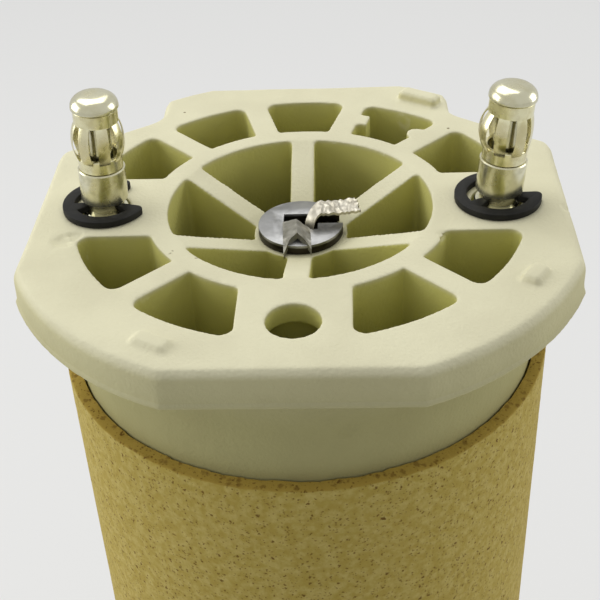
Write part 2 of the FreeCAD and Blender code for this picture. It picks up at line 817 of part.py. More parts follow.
def make_hub_washer():
    """A washer with a wide slot, open at its right edge, that the strap's tongues come up through."""
    radius = size("washer_dia") / 2
    disc = cylinder("HubWasherDisc", radius, size("washer_thickness"), z=hub_top)
    height = size("washer_thickness") + 2 * OVERCUT
    base = hub_top - OVERCUT
    half_strap = size("strap_width") / 2 + size("strap_play")
    side_slot = box("WasherSideSlot", radius + half_strap + OVERCUT, size("strap_thickness"), height, -half_strap,
                    size("strap_thickness") / 2, base)
    main_slot = box("WasherMainSlot", half_strap * 2, size("strap_thickness") * 2, height, -half_strap,
                    -size("strap_thickness"), base)
    slots = fuse("WasherSlots", [side_slot, main_slot])
    return name_part(cut("HubWasher", disc, slots), "hub_washer")


def make_foot_washer():
    """The slotted washer under the foot plate."""
    plate_length = size("foot_washer_length")
    plate_width = size("foot_washer_width")
    thickness = size("washer_thickness")
    base = size("foot_recess") - thickness
    plate = box("FootWasherPlate", plate_length, plate_width, thickness, -plate_length / 2, -plate_width / 2, base)
    length = size("strap_width") + size("strap_play") * 2
    width = size("strap_thickness") + size("strap_play") * 2
    slot = box("FootWasherSlot", length, width, thickness + 2 * OVERCUT, -length / 2, -width / 2, base - OVERCUT)
    return name_part(cut("FootWasher", plate, slot), "foot_washer")


def make_strap():
    """The steel strap that ties head, core and foot together, with bent tongues at both ends."""
    width = size("strap_width")
    thickness = size("strap_thickness")
    sheet_thick = size("strap_sheet")
    tongue_low = size("foot_recess") - size("washer_thickness") - size("foot_tongue_thickness")
    strip = box("StrapStrip", width, thickness, washer_top - tongue_low, -width / 2, -thickness / 2, tongue_low)
    reach = size("foot_tongue_reach")
    foot = box("StrapFootTongues", reach * 2, thickness, size("foot_tongue_thickness"), -reach, -thickness / 2,
               tongue_low)
    # Front tongue: a folded roof that leans on the washer
    half = size("front_tongue_width") / 2
    rise = size("front_tongue_rise")
    roof = doc.addObject("Sketcher::SketchObject", "FrontTongueSection")
    line_outline(roof, [(-half, 0), (0, rise), (half, 0), (half - sheet_thick, 0), (0, rise - sheet_thick * 1.3),
                        (sheet_thick - half, 0)])
    roof.Placement = FreeCAD.Placement(FreeCAD.Vector(0, 0, 0), FreeCAD.Rotation(FreeCAD.Vector(1, 0, 0), 90))
    front = place(extrude("FrontTongue", roof, size("front_tongue_reach")), z=washer_top)
    # Side tongue: climbs out of the slot and lies over to the right
    side = doc.addObject("Sketcher::SketchObject", "SideTongueSection")
    climb = size("side_tongue_rise")
    line_outline(side, [
        (width / 2 - sheet_thick, -size("washer_thickness")), (width / 2, -size("washer_thickness")),
        (width / 2, climb - sheet_thick * 1.4), (width / 2 + sheet_thick * 0.4, climb - sheet_thick),
        (size("side_tongue_reach"), climb - sheet_thick), (size("side_tongue_reach"), climb),
        (width / 2 - sheet_thick * 0.1, climb), (width / 2 - sheet_thick, climb - sheet_thick * 0.9)])
    side.Placement = FreeCAD.Placement(FreeCAD.Vector(0, 0, 0), FreeCAD.Rotation(FreeCAD.Vector(1, 0, 0), 90))
    half_tongue = size("side_tongue_width") / 2
    lying = place(extrude("SideTongue", side, half_tongue, half_tongue), z=washer_top, turn=SIDE_TONGUE_TURN)
    return name_part(fuse("TieStrap", [strip, foot, front, lying]), "tie_strap")


def make_terminals():
    pieces = []
    for side in SIDES:
        pieces += [make_pin(side), make_spring(side), make_clip(side), make_crimp(side)]
    return pieces


def write_parts(pieces):
    """Stops on any failed feature or bad shape, then writes one file a piece."""
    doc.recompute()
    for item in doc.Objects:
        if "Invalid" in item.State or "Error" in item.State:
            raise RuntimeError("%s failed: %s" % (item.Name, item.State))
    os.makedirs("parts", exist_ok=True)
    for piece in pieces:
        shape = piece.Shape
        if shape.isNull() or not shape.isValid():
            raise RuntimeError("%s has no valid shape" % piece.Label)
        shape.exportStep("parts/%s.step" % piece.Label)
        print("%-24s solids %d faces %3d volume %9.1f mm3" % (piece.Label, len(shape.Solids), len(shape.Faces),
                                                            shape.Volume))


write_parts([make_head(), make_sleeve()] + make_core() + make_windings() + make_terminals()
            + [make_hub_washer(), make_foot_washer(), make_strap()])
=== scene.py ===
"""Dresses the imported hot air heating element: cast head, fibre sleeve, sprung pins, coiled wire and bent strap.

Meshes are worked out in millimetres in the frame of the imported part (foot of the sleeve at z = 0, Z up, X from the
left pin to the right pin) and written in metres. Places are read from the frame wherever a CAD node has them.
"""
from __future__ import annotations

import logging
import math
from dataclasses import dataclass
from enum import Enum
from typing import Callable, Iterable, Sequence, Union

import bmesh
import bpy
from mathutils import Matrix, Vector, noise

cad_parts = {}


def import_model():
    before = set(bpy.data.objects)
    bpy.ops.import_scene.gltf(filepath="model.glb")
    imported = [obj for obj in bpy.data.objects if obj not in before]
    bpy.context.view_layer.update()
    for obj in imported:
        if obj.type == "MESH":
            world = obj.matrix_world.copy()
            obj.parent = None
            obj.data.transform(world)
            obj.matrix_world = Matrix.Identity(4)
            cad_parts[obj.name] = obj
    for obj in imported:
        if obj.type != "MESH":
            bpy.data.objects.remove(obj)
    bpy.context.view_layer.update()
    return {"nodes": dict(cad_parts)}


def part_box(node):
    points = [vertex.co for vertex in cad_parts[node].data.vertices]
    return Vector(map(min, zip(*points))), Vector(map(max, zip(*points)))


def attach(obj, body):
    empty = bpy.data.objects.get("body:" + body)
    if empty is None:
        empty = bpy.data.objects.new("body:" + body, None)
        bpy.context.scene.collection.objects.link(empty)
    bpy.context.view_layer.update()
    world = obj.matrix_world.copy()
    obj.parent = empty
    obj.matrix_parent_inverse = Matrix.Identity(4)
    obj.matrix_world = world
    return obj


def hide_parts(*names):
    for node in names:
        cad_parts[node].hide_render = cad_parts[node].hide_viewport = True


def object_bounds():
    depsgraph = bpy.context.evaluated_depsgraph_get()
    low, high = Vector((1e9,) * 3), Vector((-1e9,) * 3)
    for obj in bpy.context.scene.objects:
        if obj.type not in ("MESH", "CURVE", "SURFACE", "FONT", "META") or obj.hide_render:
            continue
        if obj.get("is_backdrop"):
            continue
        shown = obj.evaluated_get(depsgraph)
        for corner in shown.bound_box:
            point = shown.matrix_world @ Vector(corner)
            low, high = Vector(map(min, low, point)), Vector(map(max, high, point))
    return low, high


LOG = logging.getLogger("heating_element")
MM = 0.001
BODY = "root"
MERGE = 0.002

Colour = tuple[float, float, float]
Pair = tuple[float, float]
Socket = bpy.types.NodeSocket
Source = Union[bpy.types.NodeSocket, float, Sequence[float]]

# Near-black painted shadow for the hub's pocket and the washer's slot, which lie in deep shade.
HUB_PAINTED_SHADOW: Colour = (0.02, 0.018, 0.012)
# Dark painted shade for the hub washer's sides and slot walls, below its top face.
WASHER_PAINTED_SHADE: Colour = (0.035, 0.03, 0.02)
WHITE: Colour = (1.0, 1.0, 1.0)


class Side(Enum):
    """The two terminals, by the sign of their x."""

    LEFT = -1
    RIGHT = 1

    @property
    def label(self) -> str:
        """The side's name as the CAD nodes spell it.

        Returns:
            The word left or right.
        """
        return self.name.lower()


class Slot(Enum):
    """Names of the pieces' material slots."""

    HEAD = "head_ceramic"
    CORE = "core_ceramic"
    SLEEVE = "fibre_sleeve"
    WIRE = "heater_wire"
    PIN = "plated_pin"
    SPRING = "spring_metal"
    CLIP = "blackened_clip"
    CRIMP = "crimp_metal"
    WASHER = "washer_steel"
    STRAP = "strap_steel"


class Ring(Enum):
    """The two rings of wire channels in the core."""

    OUTER = "outer"
    INNER = "inner"


@dataclass(frozen=True)
class CameraSolve:
    """The photograph's camera, solved from the head's cells. Angles in radians, lengths in millimetres."""

    azimuth: float = 0.05762
    elevation: float = 0.62706
    roll: float = -0.04973
    distance: float = 99.902
    aim_right: float = 0.029
    aim_up: float = -8.424
    focal_px: float = 1159.5
    picture_px: int = 600
    sensor: float = 36.0
    clip_start: float = 5.0
    clip_end: float = 10000.0


@dataclass(frozen=True)
class Dent:
    """A chip or a knock in the casting: a place on its skin, how far it spreads and how deep it goes."""

    x: float
    y: float
    z: float
    spread: float
    depth: float


@dataclass(frozen=True)
class HeadDress:
    """How the casting's skin is softened and where it is chipped."""

    voxel: float = 0.17
    quick_voxel: float = 0.5
    smoothing: int = 6
    triangles: int = 170000
    unevenness: float = 0.035
    wave: float = 5.0
    fine_wave: float = 4.0
    fine_share: float = 0.4
    rim_radius: float = 21.6
    rim_inner: float = 20.6
    rim_foot: float = 98.3
    rim_over: float = 0.04
    rim_upright: float = 0.6
    rim_passes: int = 24
    quick_rim_passes: int = 4
    rim_rings: int = 4
    lip_top: float = 97.75
    lip_slope: float = 5.0
    lip: float = 0.16
    pocket_radius: float = 3.3
    pocket_top: float = 97.2
    pocket_depth: float = 2.0
    dent_raggedness: float = 0.5
    dent_scale: float = 1.7
    dents: tuple[Dent, ...] = (
        Dent(-19.6, -5.4, 100.7, 1.1, 0.30),
        Dent(-18.6, -4.6, 100.7, 0.7, 0.22),
        Dent(12.1, -5.6, 100.7, 0.8, 0.25),
        Dent(22.9, -1.5, 100.7, 0.9, 0.25),
        Dent(-9.3, 2.4, 100.7, 0.45, 0.14),
        Dent(-3.2, -6.3, 100.7, 0.4, 0.12),
        Dent(3.7, -20.9, 93.3, 1.0, 0.12),
        Dent(-16.6, -16.2, 97.5, 0.9, 0.25),
        Dent(9.5, -20.8, 97.4, 0.6, 0.18),
    )


@dataclass(frozen=True)
class SleeveDress:
    """The fibre sleeve's sheet: its rows, the ragged rim and the pressed surface.

    A press wave is a share and the scale of its noise; a rim wave has the height of its noise as well.
    """

    steps: int = 256
    edge_round: float = 0.15
    corner_share: float = 0.3
    rim_wear: float = 0.22
    rim_depth: float = 0.3
    rim_closed: float = 0.1
    closing_rows: int = 3
    unevenness: float = 0.05
    press_waves: tuple[Pair, ...] = ((0.5, 0.9), (0.35, 3.1))
    rim_waves: tuple[tuple[float, float, float], ...] = ((0.5, 0.6, 0.0), (0.5, 2.2, 4.0))
    fine_rows_from: float = 14.0
    fine_row: float = 0.4
    coarse_row: float = 6.0


@dataclass(frozen=True)
class PinShape:
    """A turned plug pin. Heights run from the head's top face, radii from the pin's own axis."""

    tail_radius: float = 1.2
    shoulder_radius: float = 2.55
    shank_radius: float = 2.0
    groove_radius: float = 1.6
    core_radius: float = 1.1
    cap_flat_radius: float = 0.85
    tail_end: float = -9.7
    shoulder_foot: float = -3.2
    shoulder_top: float = -2.15
    groove_foot: float = 0.0
    groove_top: float = 0.95
    barrel_top: float = 4.0
    cap_foot: float = 9.45
    top: float = 10.66
    edge: float = 0.1
    cap_round: float = 0.98
    cap_steps: int = 6
    steps: int = 56


@dataclass(frozen=True)
class SpringShape:
    """A lantern spring: two rolled rings joined by bowed leaves."""

    leaves: int = 8
    foot: float = 4.02
    top: float = 9.43
    ring_height: float = 1.2
    ring_inner: float = 1.5
    ring_outer: float = 1.86
    ring_soft: float = 0.06
    bulge: float = 2.22
    bulge_drift: Pair = (0.04, 0.2)
    slot: float = 0.52
    sheet: float = 0.2
    leaf_start: float = 0.9
    leaf_inset: float = 0.02
    leaf_narrowing: float = 0.12
    bow_power: float = 0.8
    steps: int = 48


@dataclass(frozen=True)
class Lean:
    """The play that lets a pin lean in its hole, in degrees to the right, about the middle of the head's web."""

    left: float = 2.0
    right: float = 4.2
    pivot_drop: float = 1.0
    clip_height: float = 0.3

    def degrees(self, side: Side) -> float:
        """The lean of one pin.

        Args:
            side: Which pin.

        Returns:
            Degrees towards the right.
        """
        return self.left if side is Side.LEFT else self.right


@dataclass(frozen=True)
class CoilShape:
    """The coiled heater wire and its route through the core's channels."""

    wire_radius: float = 0.34
    pitch: float = 1.75
    steps_per_turn: int = 12
    outer_radius: float = 2.8
    inner_radius: float = 2.1
    outer_circle: float = 15.2
    inner_circle: float = 7.4
    foot: float = 2.3
    top: float = 75.8
    knee_height: float = 78.2
    lead_top: float = 90.4
    lead_crimped: float = 3.2
    lead_side: float = 0.7
    route: tuple[tuple[Ring, int], ...] = (
        (Ring.OUTER, 180), (Ring.OUTER, 225), (Ring.INNER, 225),
        (Ring.INNER, 315), (Ring.OUTER, 270), (Ring.OUTER, 315),
    )


@dataclass(frozen=True)
class StrapShape:
    """The two bent ends of the tie strap, over the hub washer. Heights run from the washer's top face."""

    bar_top: float = 96.2
    roof_half_width: float = 1.2
    roof_middle: float = -0.35
    roof_closing: float = 0.5
    roof_back: float = -0.6
    roof_slant: float = 0.55
    roof_front: float = -2.9
    roof_corner: float = 1.0
    roof_ragged: float = 0.2
    roof_ragged_scale: float = 3.0
    roof_thickness: float = 0.6
    roof_edge: float = 0.22
    roof_rise: float = 0.62
    roof_unevenness: float = 0.09
    roof_scales: Pair = (2.5, 5.0)
    roof_drop: Pair = (0.8, 0.4)
    roof_drop_share: float = 0.22
    tuck: float = 1.4
    tucked_share: float = 0.14
    side_foot: Pair = (0.72, -0.8)
    side_foot_edge: Pair = (-0.38, 0.4)
    side_bend: Pair = (1.7, 0.15)
    side_half_width: float = 1.05
    side_reach: float = 5.1
    side_rise: float = 1.35
    side_sag: float = 0.12
    side_sink: float = 0.35
    side_turn: float = 8.0
    side_bend_share: float = 0.28
    side_thickness: float = 0.238
    ridge_pitch: float = 0.55
    ridge_wander: float = 0.8
    wander_scale: float = 1.4
    ridge: float = 0.045
    crinkle: float = 0.075
    crinkle_scales: Pair = (2.2, 1.6)
    tear: float = 0.4
    tear_scale: float = 3.3


@dataclass(frozen=True)
class WasherSlot:
    """The hub washer's side slot, as the photograph shows its near edge."""

    start_x: float = 1.4
    cad_edge: float = 0.52
    near_edge: float = -0.05


@dataclass(frozen=True)
class SpeckRow:
    """One size of speck: how close its cells lie, the share that has a speck, its radius and its strength."""

    scale: float
    share: float
    radius: float
    amount: float


@dataclass(frozen=True)
class Spot:
    """A small dark spot on the casting."""

    x: float
    y: float
    z: float
    radius: float


@dataclass(frozen=True)
class CeramicFinish:
    """A fired ceramic: its colour where the light falls, and the painted shade colours of its upright walls, its deep
    parts and its hollow.

    The bands are the heights between which the painted shade colours come in: the deep colour, the hollow's colour and
    the hollow's bottom colour.
    """

    name: str
    face: Colour
    wall: Colour
    deep: Colour
    hollow: Colour
    stain: Colour
    roughness: float
    grain: float
    stain_amount: float
    hollow_radius: float
    # Radius round the axis inside which the ceramic is painted near black as a painted shadow.
    painted_shadow_radius: float
    spots: tuple[Spot, ...] = ()
    spot_amount: float = 0.85
    specular: float = 0.25
    # Heights of the painted shade: where the deep colour, the hollow's colour and the hollow's darker bottom come in,
    # and how much darker that bottom is.
    deep_shade_band: Pair = (100.2, 93.0)
    hollow_shade_band: Pair = (100.7, 100.1)
    bottom_shade_band: Pair = (99.6, 93.0)
    bottom_shade: float = 0.75
    edge_tint: float = 1.12
    cloud_share: float = 0.16
    specks: tuple[float, float, float] = (420.0, 0.05, 0.09)


@dataclass(frozen=True)
class FibreFinish:
    """Pressed mineral fibre with brown specks and a browner rim."""

    name: str
    body: Colour
    pale: Colour
    speck: Colour
    rim: Colour
    roughness: float = 0.85
    specular: float = 0.12
    sheen: float = 0.03
    specks: tuple[SpeckRow, ...] = (
        SpeckRow(1300.0, 0.4, 0.25, 0.9),
        SpeckRow(2100.0, 0.5, 0.31, 0.8),
        SpeckRow(3400.0, 0.5, 0.35, 0.65),
        SpeckRow(700.0, 0.12, 0.17, 0.95),
    )
    rim_specks: SpeckRow = SpeckRow(1500.0, 0.65, 0.5, 0.6)


@dataclass(frozen=True)
class MetalFinish:
    """A metal: its colour, the duller colour where it is worn or tarnished, and its gloss."""

    name: str
    colour: Colour
    dull: Colour
    metallic: float
    roughness: float
    dull_roughness: float
    dull_amount: float
    wave: float
    bump: float
    specular: float = 0.5
    # Height below which the metal is painted dark as painted shade, and the band over which it comes in; 0 for none.
    painted_shade_top: float = 0.0
    painted_shade_depth: float = 0.15
    edge_tint: Pair = (1.5, 0.04)


# face is the lit colour; wall, deep and hollow are painted shade colours for the upright walls, the deep parts and the
# cells' walls.
HEAD_FINISH = CeramicFinish(
    "head_ceramic", face=(0.70, 0.67, 0.47), wall=(0.60, 0.565, 0.33), deep=(0.44, 0.41, 0.19),
    hollow=(0.60, 0.575, 0.185), stain=(0.16, 0.12, 0.05), roughness=0.72, grain=0.35, stain_amount=0.6,
    hollow_radius=19.5, painted_shadow_radius=3.6,
    spots=(Spot(-3.2, -6.3, 100.7, 0.22), Spot(-9.3, 2.4, 100.7, 0.2), Spot(-11.9, 17.6, 100.7, 0.2),
           Spot(13.7, 13.0, 100.7, 0.2)))
# As on the head, wall, deep and hollow are painted shade colours; the near-black painted shadow round the axis is kept
# tiny here.
CORE_FINISH = CeramicFinish(
    "core_ceramic", face=(0.72, 0.69, 0.55), wall=(0.60, 0.57, 0.42), deep=(0.45, 0.42, 0.28),
    hollow=(0.45, 0.42, 0.26), stain=(0.20, 0.15, 0.08), roughness=0.82, grain=0.6, stain_amount=0.5,
    hollow_radius=20.0, painted_shadow_radius=0.1)
SLEEVE_FINISH = FibreFinish("fibre_sleeve", body=(0.45, 0.345, 0.076), pale=(0.565, 0.462, 0.15),
                            speck=(0.15, 0.078, 0.013), rim=(0.40, 0.28, 0.055))
PIN_FINISH = MetalFinish("plated_pin", (0.62, 0.60, 0.44), (0.44, 0.40, 0.22), metallic=1.0, roughness=0.2,
                         dull_roughness=0.4, dull_amount=0.4, wave=0.9, bump=0.008)
SPRING_FINISH = MetalFinish("spring_metal", (0.69, 0.65, 0.43), (0.50, 0.43, 0.19), metallic=1.0, roughness=0.22,
                            dull_roughness=0.42, dull_amount=0.45, wave=0.7, bump=0.008)
CLIP_FINISH = MetalFinish("blackened_clip", (0.013, 0.013, 0.012), (0.03, 0.029, 0.024), metallic=0.0, roughness=0.5,
                          dull_roughness=0.65, dull_amount=0.5, wave=0.6, bump=0.05, specular=0.1)
CRIMP_FINISH = MetalFinish("crimp_metal", (0.62, 0.60, 0.54), (0.40, 0.38, 0.32), metallic=1.0, roughness=0.32,
                           dull_roughness=0.5, dull_amount=0.4, wave=0.8, bump=0.04)
FOOT_WASHER_FINISH = MetalFinish("washer_steel_foot", (0.36, 0.36, 0.35), (0.22, 0.22, 0.21), metallic=0.9,
                                 roughness=0.42, dull_roughness=0.6, dull_amount=0.6, wave=0.6, bump=0.08)
# The hub washer is painted dark below 98.45 mm as painted shade on its sides and slot walls.
HUB_WASHER_FINISH = MetalFinish("washer_steel", (0.29, 0.29, 0.285), (0.17, 0.17, 0.165), metallic=0.9,
                                roughness=0.38, dull_roughness=0.58, dull_amount=0.6, wave=0.6, bump=0.08,
                                painted_shade_top=98.45)
STRAP_FINISH = MetalFinish("strap_steel", (0.52, 0.49, 0.41), (0.30, 0.27, 0.20), metallic=1.0, roughness=0.4,
                           dull_roughness=0.55, dull_amount=0.45, wave=1.2, bump=0.1)
TONGUE_FINISH = MetalFinish("strap_steel_dull", (0.27, 0.26, 0.22), (0.13, 0.125, 0.10), metallic=0.85,
                            roughness=0.42, dull_roughness=0.6, dull_amount=0.6, wave=1.0, bump=0.15)
WIRE_FINISH = MetalFinish("heater_wire", (0.20, 0.18, 0.16), (0.10, 0.085, 0.07), metallic=0.85, roughness=0.45,
                          dull_roughness=0.65, dull_amount=0.6, wave=0.5, bump=0.05)


def tinted(colour: Colour, factor: float, lift: float = 0.0) -> Colour:
    """A lighter or darker form of a colour.

    Args:
        colour: The colour.
        factor: What each share is multiplied by.
        lift: What is added after that.

    Returns:
        The new colour, no share above 1.
    """
    return tuple(min(1.0, share * factor + lift) for share in colour)


class NodeWork:
    """Adds and joins the nodes of one shader tree."""

    def __init__(self, tree: bpy.types.NodeTree) -> None:
        """Keeps the tree.

        Args:
            tree: The tree to work in.
        """
        self.tree = tree

    def put(self, item: bpy.types.Node, name: str | int, value: Source) -> None:
        """Gives a node's input a link or a constant.

        Args:
            item: The node.
            name: The input's name or number.
            value: The socket to link, or the constant.
        """
        if isinstance(value, Socket):
            self.tree.links.new(value, item.inputs[name])
        else:
            item.inputs[name].default_value = value

    def node(self, kind: str, inputs: dict[str | int, Source] | None = None, **settings: object) -> bpy.types.Node:
        """Adds a node.

        Args:
            kind: The node's type name without its ShaderNode prefix.
            inputs: The links and constants of its inputs.
            settings: Properties to set on the node.

        Returns:
            The new node.
        """
        item = self.tree.nodes.new("ShaderNode" + kind)
        for key, value in settings.items():
            setattr(item, key, value)
        for name, value in (inputs or {}).items():
            self.put(item, name, value)
        return item

    def math(self, operation: str, first: Socket, second: Source, use_clamp: bool = False) -> Socket:
        """Adds a math node.

        Args:
            operation: Blender's name of the operation.
            first: The first value.
            second: The second value.
            use_clamp: Whether the result stays between 0 and 1.

        Returns:
            The result's socket.
        """
        return self.node("Math", {0: first, 1: second}, operation=operation, use_clamp=use_clamp).outputs[0]

    def product(self, *values: Socket) -> Socket:
        """Multiplies masks.

        Args:
            values: The masks, at least two.

        Returns:
            The product's socket, between 0 and 1.
        """
        result = values[0]
        for value in values[1:]:
            result = self.math("MULTIPLY", result, value, use_clamp=True)
        return result

    def vector(self, operation: str, first: Socket, second: Source) -> bpy.types.Node:
        """Adds a vector math node.

        Args:
            operation: Blender's name of the operation.
            first: The first vector.
            second: The second vector.

        Returns:
            The node.
        """
        return self.node("VectorMath", {0: first, 1: second}, operation=operation)


class GroupBuilder(NodeWork):
    """Makes one shader node group that gives a mask, a value or a normal."""

    def __init__(self, name: str, output: str = "Mask", kind: str = "Float", **inputs: float) -> None:
        """Starts the group with its sockets.

        Args:
            name: The group's name.
            output: The output socket's name.
            kind: The output socket's kind, as in NodeSocketFloat.
            inputs: Each input socket's default.
        """
        super().__init__(bpy.data.node_groups.new(name, "ShaderNodeTree"))
        for label, default in inputs.items():
            socket = self.tree.interface.new_socket(name=label, in_out="INPUT", socket_type="NodeSocketFloat")
            socket.default_value = default
        self.tree.interface.new_socket(name=output, in_out="OUTPUT", socket_type="NodeSocket" + kind)
        self.given = self.tree.nodes.new("NodeGroupInput").outputs

    def place(self) -> Socket:
        """The piece's own coordinates.

        Returns:
            The Object socket of a new Texture Coordinate node.
        """
        return self.node("TexCoord").outputs["Object"]

    def noise(self, where: Socket, scale: Source, detail: float = 2.0) -> bpy.types.Node:
        """Adds a noise texture.

        Args:
            where: Its coordinates.
            scale: Its scale.
            detail: How many octaves it has.

        Returns:
            The noise node.
        """
        return self.node("TexNoise", {"Vector": where, "Scale": scale, "Detail": detail})

    def height(self, vector: Socket) -> Socket:
        """A vector's upright part.

        Args:
            vector: The vector.

        Returns:
            The socket of its z.
        """
        return self.node("SeparateXYZ", {0: vector}).outputs["Z"]

    def ramp(self, value: Socket, low: Source, high: Source, full: Source = 1.0) -> Socket:
        """Maps a value to a mask with soft ends.

        Args:
            value: The value to map.
            low: Where the mask is 0.
            high: Where the mask is full.
            full: The full mask's value.

        Returns:
            The mask's socket.
        """
        inputs = {"Value": value, "From Min": low, "From Max": high, "To Max": full}
        return self.node("MapRange", inputs, interpolation_type="SMOOTHSTEP").outputs["Result"]

    def finish(self, result: Socket) -> bpy.types.NodeTree:
        """Sends the result to the group's output.

        Args:
            result: The socket of the result.

        Returns:
            The finished group.
        """
        self.put(self.tree.nodes.new("NodeGroupOutput"), 0, result)
        return self.tree


class EffectLibrary:
    """The shader effects that several finishes share."""

    RAGGED_SCALE = 2.5
    RAGGED_REACH = 0.7
    SPOT_SCALE = 3000.0
    HARD_EDGE = 2.0
    GRAIN_DEPTH = 0.15

    def __init__(self) -> None:
        """Makes every shared group once."""
        self.mottling = self._mottling()
        self.specks = self._specks()
        self.edge_wear = self._edge_wear()
        self.facing_up = self._facing_up()
        self.height_band = self._height_band()
        self.near_axis = self._near_axis()
        self.spot = self._spot()
        self.grain = self._grain()

    def _mottling(self) -> bpy.types.NodeTree:
        """Uneven cloudy patches.

        Returns:
            The group.
        """
        group = GroupBuilder("Mottling", Scale=120.0, Amount=0.5)
        cloud = group.noise(group.place(), group.given["Scale"], 5.0)
        return group.finish(group.ramp(cloud.outputs[0], 0.35, 0.68, group.given["Amount"]))

    def _specks(self) -> bpy.types.NodeTree:
        """Small separate dots of uneven size.

        Returns:
            The group.
        """
        group = GroupBuilder("Specks", Scale=900.0, Share=0.3, Radius=0.25, Amount=1.0)
        inputs = {0: group.place(), "Scale": group.given["Scale"]}
        spread = group.node("VectorMath", inputs, operation="SCALE").outputs[0]
        ragged = group.noise(spread, self.RAGGED_SCALE).outputs["Color"]
        inputs = {0: ragged, 1: (self.RAGGED_REACH,) * 3, 2: spread}
        shifted = group.node("VectorMath", inputs, operation="MULTIPLY_ADD").outputs[0]
        cells = group.node("TexVoronoi", {"Vector": shifted, "Scale": 1.0})
        dot = group.ramp(cells.outputs["Distance"], group.given["Radius"], 0.0, self.HARD_EDGE)
        luck = group.node("SeparateColor", {0: cells.outputs["Color"]}).outputs[0]
        chosen = group.math("LESS_THAN", luck, group.given["Share"])
        return group.finish(group.product(dot, chosen, group.given["Amount"]))

    def _edge_wear(self) -> bpy.types.NodeTree:
        """The mesh's raised edges, broken up by noise.

        Returns:
            The group.
        """
        group = GroupBuilder("EdgeWear", Scale=700.0, Amount=0.5)
        raised = group.ramp(group.node("NewGeometry").outputs["Pointiness"], 0.52, 0.6)
        broken = group.ramp(group.noise(group.place(), group.given["Scale"], 3.0).outputs[0], 0.35, 0.6)
        return group.finish(group.product(raised, broken, group.given["Amount"]))

    def _facing_up(self) -> bpy.types.NodeTree:
        """How far the skin faces up: 1 on a level face, 0 on an upright wall.

        Returns:
            The group.
        """
        group = GroupBuilder("FacingUp", Amount=1.0)
        rise = group.height(group.node("NewGeometry").outputs["Normal"])
        return group.finish(group.ramp(rise, 0.15, 0.8, group.given["Amount"]))

    def _height_band(self) -> bpy.types.NodeTree:
        """A mask that rises between two heights of the piece's own coordinates.

        Returns:
            The group.
        """
        group = GroupBuilder("HeightBand", Low=0.0, High=1.0)
        return group.finish(group.ramp(group.height(group.place()), group.given["Low"], group.given["High"]))

    def _near_axis(self) -> bpy.types.NodeTree:
        """A mask of what lies nearer to the element's axis than a radius.

        Returns:
            The group.
        """
        group = GroupBuilder("NearAxis", Inside=1.0, Outside=1.1)
        flat = group.vector("MULTIPLY", group.place(), (1.0, 1.0, 0.0)).outputs[0]
        reach = group.node("VectorMath", {0: flat}, operation="LENGTH").outputs["Value"]
        return group.finish(group.ramp(reach, group.given["Outside"], group.given["Inside"]))

    def _spot(self) -> bpy.types.NodeTree:
        """A ragged spot round one place of the piece's own coordinates.

        Returns:
            The group.
        """
        group = GroupBuilder("Spot", X=0.0, Y=0.0, Z=0.0, Radius=1.0, Amount=1.0)
        middle = group.node("CombineXYZ", {axis: group.given[axis] for axis in "XYZ"}).outputs[0]
        away = group.vector("DISTANCE", group.place(), middle).outputs["Value"]
        ragged = group.noise(group.place(), self.SPOT_SCALE).outputs[0]
        uneven = group.math("ADD", ragged, 0.5, use_clamp=True)
        reach = group.product(group.given["Radius"], uneven)
        return group.finish(group.product(group.ramp(away, reach, 0.0, self.HARD_EDGE), group.given["Amount"]))

    def _grain(self) -> bpy.types.NodeTree:
        """Fine pits and grit as a bumped normal.

        Returns:
            The group.
        """
        group = GroupBuilder("Grain", "Normal", "Vector", Scale=2500.0, Strength=0.3)
        pits = group.noise(group.place(), group.given["Scale"], 4.0).outputs[0]
        inputs = {"Strength": group.given["Strength"], "Distance": self.GRAIN_DEPTH * MM, "Height": pits}
        return group.finish(group.node("Bump", inputs).outputs["Normal"])


